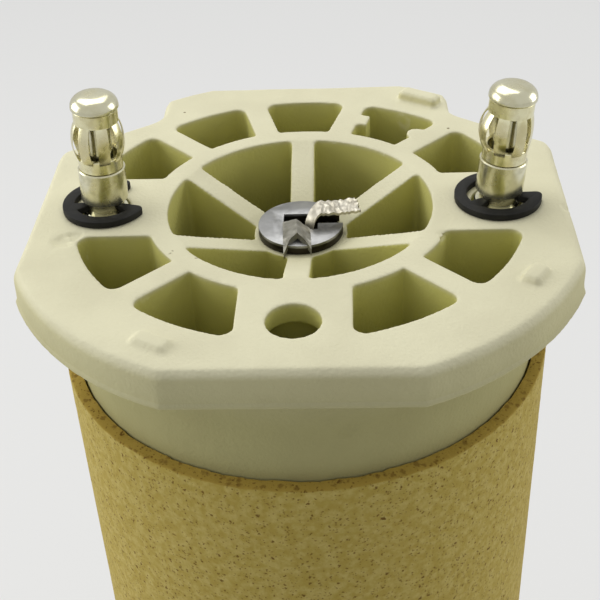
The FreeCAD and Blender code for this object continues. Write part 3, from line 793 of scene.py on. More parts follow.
class Painter(NodeWork):
    """Makes one material step by step around a Principled shader."""

    def __init__(self, name: str, effects: EffectLibrary) -> None:
        """Starts an empty material.

        Args:
            name: The material's name.
            effects: The shared effects.
        """
        self.material = bpy.data.materials.new(name)
        self.material.use_nodes = True
        super().__init__(self.material.node_tree)
        self.effects = effects
        self.shader = self.tree.nodes["Principled BSDF"]

    def effect(self, group: bpy.types.NodeTree, **values: float) -> Socket:
        """Uses a shared effect.

        Args:
            group: The effect's node group.
            values: Its input values.

        Returns:
            The effect's output socket.
        """
        return self.node("Group", values, node_tree=group).outputs[0]

    def blend(self, mask: Socket, first: Source, second: Colour) -> Socket:
        """Blends two colours by a mask.

        Args:
            mask: 0 for the first colour, 1 for the second.
            first: A colour, or the socket of one.
            second: A colour.

        Returns:
            The blended colour's socket.
        """
        start = first if isinstance(first, Socket) else (*first, 1.0)
        return self.node("Mix", {"Factor": mask, 6: start, 7: (*second, 1.0)}, data_type="RGBA").outputs[2]

    def between(self, mask: Socket, low: float, high: float) -> Socket:
        """Maps a mask to a range of values.

        Args:
            mask: The mask.
            low: The value at 0.
            high: The value at 1.

        Returns:
            The value's socket.
        """
        return self.node("MapRange", {"Value": mask, "To Min": low, "To Max": high}).outputs["Result"]

    def band(self, heights: Pair) -> Socket:
        """A mask by height.

        Args:
            heights: Where the mask is 0 and where it is 1, in millimetres.

        Returns:
            The mask's socket.
        """
        return self.effect(self.effects.height_band, Low=heights[0] * MM, High=heights[1] * MM)

    def near(self, radius: float, soft: float) -> Socket:
        """A mask of what lies near the element's axis.

        Args:
            radius: How far it reaches, in millimetres.
            soft: The width of its soft edge, in millimetres.

        Returns:
            The mask's socket.
        """
        return self.effect(self.effects.near_axis, Inside=(radius - soft) * MM, Outside=radius * MM)

    def specks(self, row: SpeckRow) -> Socket:
        """A mask of specks of one size.

        Args:
            row: The specks.

        Returns:
            The mask's socket.
        """
        return self.effect(self.effects.specks, Scale=row.scale, Share=row.share, Radius=row.radius,
                           Amount=row.amount)

    def finish(self, colour: Socket, grain: Pair, **values: Source) -> bpy.types.Material:
        """Feeds the shader.

        Args:
            colour: The base colour.
            grain: The scale and the strength of the fine pits.
            values: The shader's other inputs, with _ for each space in a name.

        Returns:
            The finished material.
        """
        self.put(self.shader, "Base Color", colour)
        self.put(self.shader, "Normal", self.effect(self.effects.grain, Scale=grain[0], Strength=grain[1]))
        for name, value in values.items():
            self.put(self.shader, name.replace("_", " "), value)
        return self.material


class FinishShop:
    """Turns finishes into materials, each made once."""

    def __init__(self) -> None:
        """Makes the shared effects and an empty shelf."""
        self.effects = EffectLibrary()
        self.shelf: dict[str, bpy.types.Material] = {}

    def get(self, finish: CeramicFinish | FibreFinish | MetalFinish) -> bpy.types.Material:
        """The material of a finish.

        Args:
            finish: Which finish.

        Returns:
            Its material.
        """
        makers = {CeramicFinish: self._ceramic, FibreFinish: self._fibre, MetalFinish: self._metal}
        if finish.name not in self.shelf:
            self.shelf[finish.name] = makers[type(finish)](finish)
        return self.shelf[finish.name]

    def _ceramic(self, finish: CeramicFinish) -> bpy.types.Material:
        """Fired ceramic with cloudy patches, specks and grain, with painted shade that darkens its walls, its deep
        parts and its hollows, and a near-black painted shadow round the axis.

        Args:
            finish: The finish.

        Returns:
            The material.
        """
        paint = Painter(finish.name, self.effects)
        # Painted shade: upright walls get the darker wall colour, and parts lower than the top face get darker towards
        # the deep colour.
        up = paint.effect(self.effects.facing_up)
        upright = paint.between(up, 1.0, 0.0)
        inside = paint.near(finish.hollow_radius, 0.3)
        colour = paint.blend(up, finish.wall, finish.face)
        colour = paint.blend(paint.band(finish.deep_shade_band), colour, finish.deep)
        # Painted shade in the cells: their upright walls get the hollow colour, darker still towards the bottom.
        hollow = paint.product(paint.band(finish.hollow_shade_band), inside, upright)
        colour = paint.blend(hollow, colour, finish.hollow)
        bottom = paint.product(paint.band(finish.bottom_shade_band), inside, upright)
        colour = paint.blend(bottom, colour, tinted(finish.hollow, finish.bottom_shade))
        # Painted shadow: the ceramic round the axis, in the hub's pocket, is painted near black.
        colour = paint.blend(paint.near(finish.painted_shadow_radius, 0.1), colour, HUB_PAINTED_SHADOW)
        clouds = paint.effect(self.effects.mottling, Scale=140.0, Amount=finish.cloud_share * finish.stain_amount)
        colour = paint.blend(clouds, colour, finish.stain)
        colour = paint.blend(paint.specks(SpeckRow(*finish.specks, finish.stain_amount)), colour, finish.stain)
        worn = paint.effect(self.effects.edge_wear, Scale=900.0, Amount=0.3)
        colour = paint.blend(worn, colour, tinted(finish.face, finish.edge_tint))
        for spot in finish.spots:
            mask = paint.effect(self.effects.spot, X=spot.x * MM, Y=spot.y * MM, Z=spot.z * MM,
                                Radius=spot.radius * MM, Amount=finish.spot_amount)
            colour = paint.blend(mask, colour, finish.stain)
        return paint.finish(colour, (3200.0, finish.grain), Roughness=finish.roughness,
                            Specular_IOR_Level=finish.specular)

    def _fibre(self, finish: FibreFinish) -> bpy.types.Material:
        """Pressed fibre: pale and tan clouds, many brown specks and a frayed rim.

        Args:
            finish: The finish.

        Returns:
            The material.
        """
        paint = Painter(finish.name, self.effects)
        clouds = paint.effect(self.effects.mottling, Scale=1300.0, Amount=0.85)
        colour = paint.blend(clouds, finish.body, finish.pale)
        colour = paint.blend(paint.effect(self.effects.mottling, Scale=3000.0, Amount=0.35), colour, finish.rim)
        rim = paint.effect(self.effects.facing_up)
        colour = paint.blend(rim, colour, finish.rim)
        for row in finish.specks:
            colour = paint.blend(paint.specks(row), colour, finish.speck)
        colour = paint.blend(paint.product(paint.specks(finish.rim_specks), rim), colour, finish.speck)
        return paint.finish(colour, (2600.0, 0.5), Roughness=finish.roughness, Specular_IOR_Level=finish.specular,
                            Sheen_Weight=finish.sheen)

    def _metal(self, finish: MetalFinish) -> bpy.types.Material:
        """A metal that is duller in patches and brighter on its edges.

        Args:
            finish: The finish.

        Returns:
            The material.
        """
        paint = Painter(finish.name, self.effects)
        patches = paint.effect(self.effects.mottling, Scale=finish.wave / MM, Amount=finish.dull_amount)
        colour = paint.blend(patches, finish.colour, finish.dull)
        worn = paint.effect(self.effects.edge_wear, Scale=1500.0, Amount=0.35)
        colour = paint.blend(worn, colour, tinted(finish.colour, *finish.edge_tint))
        # Painted shade: below this height the metal is painted dark.
        if finish.painted_shade_top:
            colour = paint.blend(paint.band((finish.painted_shade_top, finish.painted_shade_top - finish.painted_shade_depth)), colour, WASHER_PAINTED_SHADE)
        gloss = paint.between(patches, finish.roughness, finish.dull_roughness)
        return paint.finish(colour, (1800.0, finish.bump), Roughness=gloss, Metallic=finish.metallic,
                            Specular_IOR_Level=finish.specular)


class Piece:
    """A mesh being made with bmesh, in millimetres, that ends as one piece of the element."""

    def __init__(self, name: str) -> None:
        """Starts an empty mesh.

        Args:
            name: The piece's name.
        """
        self.name = name
        self.bm = bmesh.new()

    def take(self, node: bpy.types.Object) -> None:
        """Takes a merged copy of a CAD node's mesh.

        Args:
            node: The CAD node, which is left alone.
        """
        self.bm.from_mesh(node.data)
        bmesh.ops.scale(self.bm, verts=self.bm.verts, vec=(1 / MM,) * 3)
        bmesh.ops.remove_doubles(self.bm, verts=self.bm.verts, dist=MERGE)
        bmesh.ops.dissolve_limit(self.bm, angle_limit=math.radians(1), verts=self.bm.verts, edges=self.bm.edges)

    def turn_profile(self, profile: Sequence[Pair], steps: int, closed: bool = False) -> None:
        """Spins a profile of (radius, height) about the upright axis through the origin.

        Args:
            profile: The profile's points.
            steps: How many steps a full turn has.
            closed: Whether the last point joins the first.
        """
        verts = [self.bm.verts.new((r, 0, z)) for r, z in profile]
        pairs = list(zip(verts, verts[1:]))
        if closed:
            pairs.append((verts[-1], verts[0]))
        edges = [self.bm.edges.new(pair) for pair in pairs]
        bmesh.ops.spin(self.bm, geom=verts + edges, cent=(0, 0, 0), axis=(0, 0, 1), angle=math.tau, steps=steps,
                       use_merge=True)
        bmesh.ops.remove_doubles(self.bm, verts=self.bm.verts, dist=0.0005)
        bmesh.ops.recalc_face_normals(self.bm, faces=self.bm.faces)

    def soften(self, offset: float, segments: int = 2, sharp: float = 35.0) -> None:
        """Rounds the mesh's sharp edges.

        Args:
            offset: How far the rounding reaches.
            segments: How many steps it has.
            sharp: The smallest angle of an edge that is rounded, in degrees.
        """
        edges = [e for e in self.bm.edges if e.is_manifold and e.calc_face_angle(0) > math.radians(sharp)]
        bmesh.ops.bevel(self.bm, geom=edges, offset=offset, offset_type="OFFSET", segments=segments, profile=0.5,
                        affect="EDGES", clamp_overlap=True, material=-1)

    def sheet(self, shape: Callable[[float, float], Vector], columns: int, rows: int, thickness: float) -> None:
        """Adds a bent sheet with a thickness.

        Args:
            shape: The place of a point from its shares across (-1 to 1) and along (0 to 1).
            columns: Steps across the sheet.
            rows: Steps along the sheet.
            thickness: The sheet's thickness.
        """
        made = bmesh.ops.create_grid(self.bm, x_segments=columns, y_segments=rows, size=1.0)
        faces = {f for v in made["verts"] for f in v.link_faces}
        for vert in made["verts"]:
            vert.co = shape(vert.co.x, (vert.co.y + 1) / 2)
        bmesh.ops.solidify(self.bm, geom=list(faces), thickness=thickness)
        bmesh.ops.recalc_face_normals(self.bm, faces=self.bm.faces)

    def move(self, matrix: Matrix) -> None:
        """Moves the whole mesh.

        Args:
            matrix: Where it goes.
        """
        self.bm.transform(matrix)

    def done(self, material: bpy.types.Material, slot: Slot, replaces: Iterable[str] = (), smooth_below: float = 35.0
             ) -> bpy.types.Object:
        """Writes the mesh as an object that rides on the element.

        Args:
            material: Its material.
            slot: Not used.
            replaces: The CAD nodes that it stands for.
            smooth_below: Edges flatter than this are shaded smooth, in degrees.

        Returns:
            The object.
        """
        for edge in self.bm.edges:
            edge.smooth = not edge.is_manifold or edge.calc_face_angle(0) < math.radians(smooth_below)
        for face in self.bm.faces:
            face.smooth = True
        bmesh.ops.scale(self.bm, verts=self.bm.verts, vec=(MM,) * 3)
        mesh = bpy.data.meshes.new(self.name)
        self.bm.to_mesh(mesh)
        self.bm.free()
        item = bpy.data.objects.new(self.name, mesh)
        bpy.context.scene.collection.objects.link(item)
        return settle(item, material, replaces)


def settle(item: bpy.types.Object, material: bpy.types.Material, replaces: Iterable[str] = ()
           ) -> bpy.types.Object:
    """Gives a finished object its material and its body, and hides the CAD nodes that it stands for.

    Args:
        item: The object.
        material: Its material.
        replaces: The CAD nodes that it stands for.

    Returns:
        The same object.
    """
    item.data.materials.clear()
    item.data.materials.append(material)
    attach(item, BODY)
    for node in replaces:
        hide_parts(node)
    LOG.info("%s: %d faces", item.name, len(item.data.polygons))
    return item


def baked(item: bpy.types.Object) -> None:
    """Replaces an object's mesh by what its modifiers make of it.

    Args:
        item: The object.
    """
    graph = bpy.context.evaluated_depsgraph_get()
    mesh = bpy.data.meshes.new_from_object(item.evaluated_get(graph), depsgraph=graph)
    old = item.data
    item.modifiers.clear()
    item.data = mesh
    bpy.data.meshes.remove(old)


@dataclass(frozen=True)
class Layout:
    """Places in millimetres that the pieces share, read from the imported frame."""

    head_top: float
    pin_x: float
    low: Vector
    high: Vector

    @classmethod
    def read(cls) -> "Layout":
        """Reads the places from the frame.

        Returns:
            The layout.
        """
        pin_low, pin_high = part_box("terminal_pin_right")
        low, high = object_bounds()
        return cls(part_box("retaining_clip_left")[0].z / MM, (pin_low.x + pin_high.x) / 2 / MM, Vector(low) / MM,
                   Vector(high) / MM)

    def lean_of(self, side: Side, lean: Lean) -> Matrix:
        """The turn of one leaning pin about the middle of the head's web.

        Args:
            side: Which pin.
            lean: The leans.

        Returns:
            The turn, in millimetres.
        """
        pivot = Vector((self.pin_x * side.value, 0, self.head_top - lean.pivot_drop))
        turn = Matrix.Rotation(math.radians(lean.degrees(side)), 4, "Y")
        return Matrix.Translation(pivot) @ turn @ Matrix.Translation(-pivot)

    def terminal(self, side: Side, lean: Lean) -> Matrix:
        """Puts a mesh made about the origin on a leaning pin's axis, with z = 0 at the head's top face.

        Args:
            side: Which pin.
            lean: The leans.

        Returns:
            The move, in millimetres.
        """
        return self.lean_of(side, lean) @ Matrix.Translation((self.pin_x * side.value, 0, self.head_top))


@dataclass
class HeadCasting:
    """The cast head: a softened, slightly uneven and chipped copy of the CAD solid."""

    dress: HeadDress
    layout: Layout
    shop: FinishShop

    def build(self, node: bpy.types.Object) -> bpy.types.Object:
        """Makes the casting.

        Args:
            node: The CAD node that it stands for.

        Returns:
            The casting.
        """
        piece = Piece("head_casting")
        piece.bm.from_mesh(node.data)
        bmesh.ops.remove_doubles(piece.bm, verts=piece.bm.verts, dist=MERGE * MM)
        bmesh.ops.scale(piece.bm, verts=piece.bm.verts, vec=(1 / MM,) * 3)
        item = piece.done(self.shop.get(HEAD_FINISH), Slot.HEAD, [node.name])
        remesh = item.modifiers.new("Voxels", "REMESH")
        remesh.mode = "VOXEL"
        remesh.voxel_size = self.dress.voxel * MM
        soft = item.modifiers.new("Soft", "SMOOTH")
        soft.factor = 0.5
        soft.iterations = self.dress.smoothing
        baked(item)
        self._roughen(item)
        lighter = item.modifiers.new("Lighter", "DECIMATE")
        lighter.ratio = min(1.0, self.dress.triangles / (2 * len(item.data.polygons)))
        baked(item)
        item.data.shade_smooth()
        return item

    def _roughen(self, item: bpy.types.Object) -> None:
        """Makes the skin slightly uneven, chips it, and keeps it inside the CAD box.

        Args:
            item: The softened casting.
        """
        dress = self.dress
        skin = bmesh.new()
        skin.from_mesh(item.data)
        self._round_rim(skin)
        for vert in skin.verts:
            place = vert.co / MM
            if math.hypot(place.x, place.y) < dress.pocket_radius and place.z > dress.pocket_top:
                place.z -= dress.pocket_depth
            inward = noise.noise(place / dress.wave)
            inward += dress.fine_share * noise.noise(place / dress.wave * dress.fine_wave)
            place -= vert.normal * dress.unevenness * (1 + inward)
            for dent in dress.dents:
                ragged = 1 + dress.dent_raggedness * noise.noise(place * dress.dent_scale)
                share = (place - Vector((dent.x, dent.y, dent.z))).length / (dent.spread * ragged)
                if share < 1:
                    place -= vert.normal * dent.depth * (1 - share * share)
            box = zip(place, self.layout.low, self.layout.high)
            vert.co = Vector(tuple(min(max(c, low), high) for c, low, high in box)) * MM
        skin.to_mesh(item.data)
        skin.free()

    def _round_rim(self, skin: bmesh.types.BMesh) -> None:
        """Leaves a lip along the flange's foot, and rounds its upper edge and its upright corners.

        Args:
            skin: The casting's mesh.
        """
        dress = self.dress
        for vert in skin.verts:
            reach = math.hypot(vert.co.x, vert.co.y) / MM
            share = min(1.0, max(0.0, (vert.co.z / MM - dress.lip_top) * dress.lip_slope + 0.5))
            share *= min(1.0, max(0.0, (reach - dress.rim_inner) / (dress.rim_radius - dress.rim_inner)))
            vert.co.xy *= 1 - dress.lip * share / max(reach, 1.0)
        rim = {v for v in skin.verts if v.co.z > dress.rim_foot * MM and abs(v.normal.z) < dress.rim_upright
               and math.hypot(v.co.x, v.co.y) > (dress.rim_radius - dress.lip) * MM}
        for _ in range(dress.rim_rings):
            rim |= {edge.other_vert(vert) for vert in rim for edge in vert.link_edges}
        top = self.layout.head_top + dress.rim_over
        rim = [v for v in rim if dress.rim_foot * MM < v.co.z < top * MM]
        for _ in range(dress.rim_passes):
            bmesh.ops.smooth_vert(skin, verts=rim, factor=0.5, use_axis_x=True, use_axis_y=True, use_axis_z=True)
        skin.normal_update()


@dataclass
class FibreSleeve:
    """The pressed fibre sleeve with its slightly ragged rim."""

    dress: SleeveDress
    shop: FinishShop

    def build(self, inner_radius: float) -> bpy.types.Object:
        """Makes the sleeve.

        Args:
            inner_radius: The bore's radius.

        Returns:
            The sleeve.
        """
        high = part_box("outer_sleeve")[1]
        outer = high.x / MM
        top = high.z / MM
        piece = Piece("fibre_sleeve")
        piece.turn_profile(self._profile(inner_radius, outer, top), self.dress.steps, closed=True)
        for vert in piece.bm.verts:
            self._wear(vert, (inner_radius + outer) / 2, top)
        return piece.done(self.shop.get(SLEEVE_FINISH), Slot.SLEEVE, ["outer_sleeve"], smooth_below=70.0)

    def _profile(self, inner: float, outer: float, top: float) -> list[Pair]:
        """The wall's section: close rows near the rim and wide rows below.

        Args:
            inner: The bore's radius.
            outer: The outside radius.
            top: The rim's height.

        Returns:
            The section's points, once round.
        """
        dress = self.dress
        edge = dress.edge_round
        heights = [top - edge]
        while heights[-1] > edge + dress.coarse_row:
            step = dress.fine_row if heights[-1] > top - dress.fine_rows_from else dress.coarse_row
            heights.append(heights[-1] - step)
        heights.append(edge)
        corner = dress.corner_share * edge
        section = [(outer - edge, top), (outer - corner, top - corner)]
        section += [(outer, z) for z in heights]
        section += [(outer - edge, 0.0), (inner + edge, 0.0)]
        section += [(inner, z) for z in reversed(heights[dress.closing_rows:])]
        section.append((inner - dress.rim_closed, top))
        return section

    def _wear(self, vert: bmesh.types.BMVert, middle: float, top: float) -> None:
        """Presses the outside in a little and frays the rim down.

        Args:
            vert: The vertex to move.
            middle: The wall's middle radius.
            top: The rim's height.
        """
        dress = self.dress
        place = vert.co.copy()
        radius = math.hypot(place.x, place.y)
        if radius > middle:
            dip = 0.5
            for share, scale in dress.press_waves:
                dip += share * noise.noise(place * scale)
            vert.co.xy *= 1 - dress.unevenness * max(0.0, dip) / radius
        if place.z > top - dress.rim_depth:
            ragged = 0.5
            for share, scale, height in dress.rim_waves:
                ragged += share * noise.noise(Vector((place.x, place.y, height)) * scale)
            vert.co.z -= dress.rim_wear * min(1.0, max(0.0, ragged))


@dataclass
class Terminal:
    """One terminal: turned pin, lantern spring, clip and crimp, leaning by the play in its hole."""

    side: Side
    layout: Layout
    lean: Lean
    shop: FinishShop

    def build(self, nodes: dict[str, bpy.types.Object]) -> None:
        """Makes the terminal's four pieces.

        Args:
            nodes: The CAD nodes by name.
        """
        self._pin(PinShape())
        self._spring(SpringShape())
        self._clip(nodes["retaining_clip_" + self.side.label])
        self._crimp(nodes["crimp_" + self.side.label])

    def _pin(self, shape: PinShape) -> None:
        """Turns the pin from its section, with a rounded cap.

        Args:
            shape: The pin's sizes.
        """
        edge = shape.edge
        shank = shape.shank_radius
        profile = [
            (0.0, shape.tail_end), (shape.tail_radius - edge, shape.tail_end),
            (shape.tail_radius, shape.tail_end + edge), (shape.tail_radius, shape.shoulder_foot),
            (shape.shoulder_radius - edge, shape.shoulder_foot), (shape.shoulder_radius, shape.shoulder_foot + edge),
            (shape.shoulder_radius, shape.shoulder_top - edge), (shape.shoulder_radius - edge, shape.shoulder_top),
            (shank, shape.shoulder_top), (shank, shape.groove_foot - edge), (shank - edge, shape.groove_foot),
            (shape.groove_radius, shape.groove_foot), (shape.groove_radius, shape.groove_top),
            (shank - edge, shape.groove_top), (shank, shape.groove_top + edge),
            (shank, shape.barrel_top - edge), (shank - edge, shape.barrel_top),
            (shape.core_radius, shape.barrel_top), (shape.core_radius, shape.cap_foot),
            (shank - edge, shape.cap_foot), (shank, shape.cap_foot + edge),
        ]
        for n in range(shape.cap_steps + 1):
            angle = math.radians(90 / shape.cap_steps * n)
            radius = shape.cap_flat_radius + (shank - shape.cap_flat_radius) * math.cos(angle)
            profile.append((radius, shape.top - shape.cap_round + shape.cap_round * math.sin(angle)))
        profile.append((0.0, shape.top))
        piece = Piece("plug_pin_" + self.side.label)
        piece.turn_profile(profile, shape.steps)
        piece.move(self.layout.terminal(self.side, self.lean))
        piece.done(self.shop.get(PIN_FINISH), Slot.PIN, ["terminal_pin_" + self.side.label], smooth_below=40.0)

    def _spring(self, shape: SpringShape) -> None:
        """Makes the spring's two rings and its bowed leaves.

        Args:
            shape: The spring's sizes.
        """
        piece = Piece("lantern_spring_" + self.side.label)
        inner, outer, soft = shape.ring_inner, shape.ring_outer, shape.ring_soft
        for foot in (shape.foot, shape.top - shape.ring_height):
            top = foot + shape.ring_height
            ring = [(inner, foot), (outer - soft, foot), (outer, foot + soft)]
            ring += [(outer, top - soft), (outer - soft, top), (inner, top)]
            piece.turn_profile(ring, shape.steps, closed=True)
        reach = (math.tau * outer / shape.leaves - shape.slot) / 2 / outer
        low = shape.foot + shape.ring_height * shape.leaf_start
        high = shape.top - shape.ring_height * shape.leaf_start
        drift = shape.bulge_drift[0 if self.side is Side.LEFT else 1]

        def leaf(turn: float) -> Callable[[float, float], Vector]:
            """The bowed surface of one leaf.

            Args:
                turn: The leaf's middle angle.

            Returns:
                The surface's function.
            """
            def surface(across: float, along: float) -> Vector:
                """A point on the leaf.

                Args:
                    across: Share across the leaf.
                    along: Share along the leaf.

                Returns:
                    The point.
                """
                bow = math.sin(math.pi * along) ** shape.bow_power if 0 < along < 1 else 0.0
                bulge = shape.bulge - drift * math.cos(turn)
                radius = outer - shape.leaf_inset + (bulge - outer + shape.leaf_inset) * bow
                angle = turn + across * reach * (1 - shape.leaf_narrowing * bow)
                return Vector((radius * math.cos(angle), radius * math.sin(angle), low + (high - low) * along))
            return surface

        for n in range(shape.leaves):
            surface = leaf(math.tau * (n + 0.5) / shape.leaves)
            piece.sheet(surface, columns=4, rows=12, thickness=shape.sheet)
        piece.move(self.layout.terminal(self.side, self.lean))
        piece.done(self.shop.get(SPRING_FINISH), Slot.SPRING, ["contact_spring_" + self.side.label], smooth_below=40.0)

    def _clip(self, node: bpy.types.Object) -> None:
        """Softens the clip, which lies flat on the head and follows the pin's groove sideways.

        Args:
            node: The CAD clip.
        """
        piece = Piece("clip_" + self.side.label)
        piece.take(node)
        piece.soften(offset=0.09)
        tilt = math.radians(self.lean.degrees(self.side))
        piece.move(Matrix.Translation((math.sin(tilt) * (self.lean.pivot_drop + self.lean.clip_height), 0, 0)))
        piece.done(self.shop.get(CLIP_FINISH), Slot.CLIP, [node.name])

    def _crimp(self, node: bpy.types.Object) -> None:
        """Softens the crimp that joins the pin's tail to the heater wires.

        Args:
            node: The CAD crimp.
        """
        piece = Piece("crimp_sleeve_" + self.side.label)
        piece.take(node)
        piece.soften(offset=0.12)
        piece.move(self.layout.lean_of(self.side, self.lean))
        piece.done(self.shop.get(CRIMP_FINISH), Slot.CRIMP, [node.name])


@dataclass
class Winding:
    """One heater winding: coiled wire down and up six channels, with straight leads to the crimps."""

    shape: CoilShape
    layout: Layout
    lean: Lean
    shop: FinishShop

    def build(self, name: str, node: str, turned: bool) -> None:
        """Makes a winding.

        Args:
            name: The piece's name.
            node: The CAD node that it stands for.
            turned: Whether it is the one on the far side, turned half round.
        """
        turn = Matrix.Rotation(math.pi if turned else 0.0, 4, "Z")
        first, last = (Side.RIGHT, Side.LEFT) if turned else (Side.LEFT, Side.RIGHT)
        aside = self.shape.lead_side if turned else -self.shape.lead_side
        points = self._lead(first, aside)
        for n, (ring, angle) in enumerate(self.shape.route):
            points += [turn @ p for p in self._coil(ring, angle, n % 2 == 0)]
        points += reversed(self._lead(last, aside))
        curve = bpy.data.curves.new(name, "CURVE")
        curve.dimensions = "3D"
        curve.bevel_depth = self.shape.wire_radius * MM
        curve.bevel_resolution = 0
        curve.use_fill_caps = True
        spline = curve.splines.new("POLY")
        spline.points.add(len(points) - 1)
        for target, point in zip(spline.points, points):
            target.co = (*(point * MM), 1.0)
        source = bpy.data.objects.new(name + "_line", curve)
        mesh = bpy.data.meshes.new_from_object(source)
        mesh.name = name
        bpy.data.objects.remove(source)
        bpy.data.curves.remove(curve)
        item = bpy.data.objects.new(name, mesh)
        bpy.context.scene.collection.objects.link(item)
        item.data.shade_smooth()
        settle(item, self.shop.get(WIRE_FINISH), [node])

    def _lead(self, side: Side, aside: float) -> list[Vector]:
        """The straight lead from a crimp to its knee above the core.

        Args:
            side: Which pin.
            aside: The wire's place beside the pin's axis.

        Returns:
            The lead's points, from the crimp down.
        """
        shape = self.shape
        x = self.layout.pin_x * side.value
        lean = self.layout.lean_of(side, self.lean)
        crimped = [lean @ Vector((x, aside, z)) for z in (shape.lead_top, shape.lead_top - shape.lead_crimped)]
        return crimped + [Vector((x, aside, shape.knee_height))]

    def _coil(self, ring: Ring, angle: int, downwards: bool) -> list[Vector]:
        """The helix in one channel.

        Args:
            ring: Which ring of channels.
            angle: The channel's place on the ring, in degrees.
            downwards: Whether the wire runs down this channel.

        Returns:
            The helix's points in the order of the wire.
        """
        shape = self.shape
        circle = shape.outer_circle if ring is Ring.OUTER else shape.inner_circle
        radius = shape.outer_radius if ring is Ring.OUTER else shape.inner_radius
        middle = Vector((math.cos(math.radians(angle)) * circle, math.sin(math.radians(angle)) * circle, 0))
        turns = round((shape.top - shape.foot) / shape.pitch)
        steps = turns * shape.steps_per_turn
        points = []
        for n in range(steps + 1):
            a = math.radians(angle + 180) + math.tau * n / shape.steps_per_turn
            z = shape.top + (shape.foot - shape.top) * n / steps
            points.append(middle + Vector((radius * math.cos(a), radius * math.sin(a), z)))
        return points if downwards else points[::-1]


@dataclass
class Strap:
    """The tie strap: the bar through the hub, the folded front tongue and the torn side tongue."""

    shape: StrapShape
    shop: FinishShop
    washer_top: float

    def build(self, node: bpy.types.Object) -> None:
        """Makes the strap's three pieces.

        Args:
            node: The CAD strap.
        """
        self._bar(node)
        self._front_tongue(node.name)
        self._side_tongue(node.name)

    def _bar(self, node: bpy.types.Object) -> None:
        """Keeps the strap below its bent ends.

        Args:
            node: The CAD strap.
        """
        piece = Piece("strap_bar")
        piece.take(node)
        cut = bmesh.ops.bisect_plane(piece.bm, geom=piece.bm.verts[:] + piece.bm.edges[:] + piece.bm.faces[:],
                                     plane_co=(0, 0, self.shape.bar_top), plane_no=(0, 0, 1), clear_outer=True)
        edges = [e for e in cut["geom_cut"] if isinstance(e, bmesh.types.BMEdge)]
        bmesh.ops.holes_fill(piece.bm, edges=edges, sides=0)
        bmesh.ops.recalc_face_normals(piece.bm, faces=piece.bm.faces)
        piece.soften(offset=0.1)
        piece.done(self.shop.get(STRAP_FINISH), Slot.STRAP, [node.name])

    def _front_tongue(self, node: str) -> None:
        """Folds the dull front tongue like a roof, down over the washer.

        Args:
            node: The CAD strap's name.
        """
        shape = self.shape

        def roof(across: float, along: float) -> Vector:
            """A point on the folded tongue, whose first rows go down into the slot.

            Args:
                across: Share across the tongue.
                along: Share along the tongue.

            Returns:
                The point.
            """
            share = max(0.0, (along - shape.tucked_share) / (1 - shape.tucked_share))
            side = abs(across)
            ragged = shape.roof_ragged * noise.noise(Vector((across * shape.roof_ragged_scale, 0.5, 7)))
            back = shape.roof_back - shape.roof_slant * across
            front = shape.roof_front - shape.roof_corner * side + ragged
            rise = shape.roof_edge + shape.roof_rise * (1 - side)
            spot = Vector((across * shape.roof_scales[0], along * shape.roof_scales[1], 0))
            rise += shape.roof_unevenness * noise.noise(spot)
            turned = max(0.0, side * 2 - 1) * max(0.0, share - 1 + shape.roof_drop_share) / shape.roof_drop_share
            rise -= shape.roof_drop[0 if across < 0 else 1] * turned
            rise -= shape.tuck * (1 - min(1.0, along / shape.tucked_share))
            middle = shape.roof_middle * (1 - shape.roof_closing * share)
            return Vector((middle + across * shape.roof_half_width, back + (front - back) * share,
                           self.washer_top + rise))

        piece = Piece("strap_tongue_front")
        piece.sheet(roof, columns=14, rows=24, thickness=shape.roof_thickness)
        piece.soften(offset=0.05, segments=1, sharp=60.0)
        piece.done(self.shop.get(TONGUE_FINISH), Slot.STRAP, [node], smooth_below=30.0)

    def _side_tongue(self, node: str) -> None:
        """Bends the bright side tongue out of the slot, widens it and tears its end.

        Args:
            node: The CAD strap's name.
        """
        shape = self.shape
        turn = Matrix.Rotation(math.radians(shape.side_turn), 3, "Z")

        def bent(across: float, along: float) -> Vector:
            """A point on the side tongue.

            Args:
                across: Share across the tongue.
                along: Share along the tongue.

            Returns:
                The point.
            """
            edge = turn @ Vector((shape.side_bend[0], shape.side_bend[1] + across * shape.side_half_width, 0))
            if along < shape.side_bend_share:
                angle = along / shape.side_bend_share * math.pi / 2
                foot = Vector((shape.side_foot[0] + across * shape.side_foot_edge[0],
                               shape.side_foot[1] + across * shape.side_foot_edge[1], 0))
                place = foot.lerp(edge, 1 - math.cos(angle))
                rise = (shape.side_rise + shape.side_sink) * math.sin(angle) - shape.side_sink
            else:
                share = (along - shape.side_bend_share) / (1 - shape.side_bend_share)
                torn = shape.tear * noise.noise(Vector((across * shape.tear_scale, 2.0, 0.5)))
                reach = shape.side_reach + torn - shape.side_bend[0]
                place = edge + turn @ Vector((reach * share, 0, 0))
                rise = shape.side_rise - shape.side_sag * math.sin(math.pi * share)
            wander = shape.ridge_wander * noise.noise(Vector((place.x, place.y * shape.wander_scale, 1.0)))
            ridges = shape.ridge * math.sin(math.tau * (place.x / shape.ridge_pitch + wander))
            spot = Vector((place.x * shape.crinkle_scales[0], place.y * shape.crinkle_scales[1], 3.0))
            folds = shape.crinkle * noise.noise(spot)
            rise += (ridges + folds) * min(1.0, along * 3)
            return Vector((place.x, place.y, self.washer_top + rise))

        piece = Piece("strap_tongue_side")
        piece.sheet(bent, columns=14, rows=44, thickness=shape.side_thickness)
        piece.done(self.shop.get(STRAP_FINISH), Slot.STRAP, [node], smooth_below=30.0)


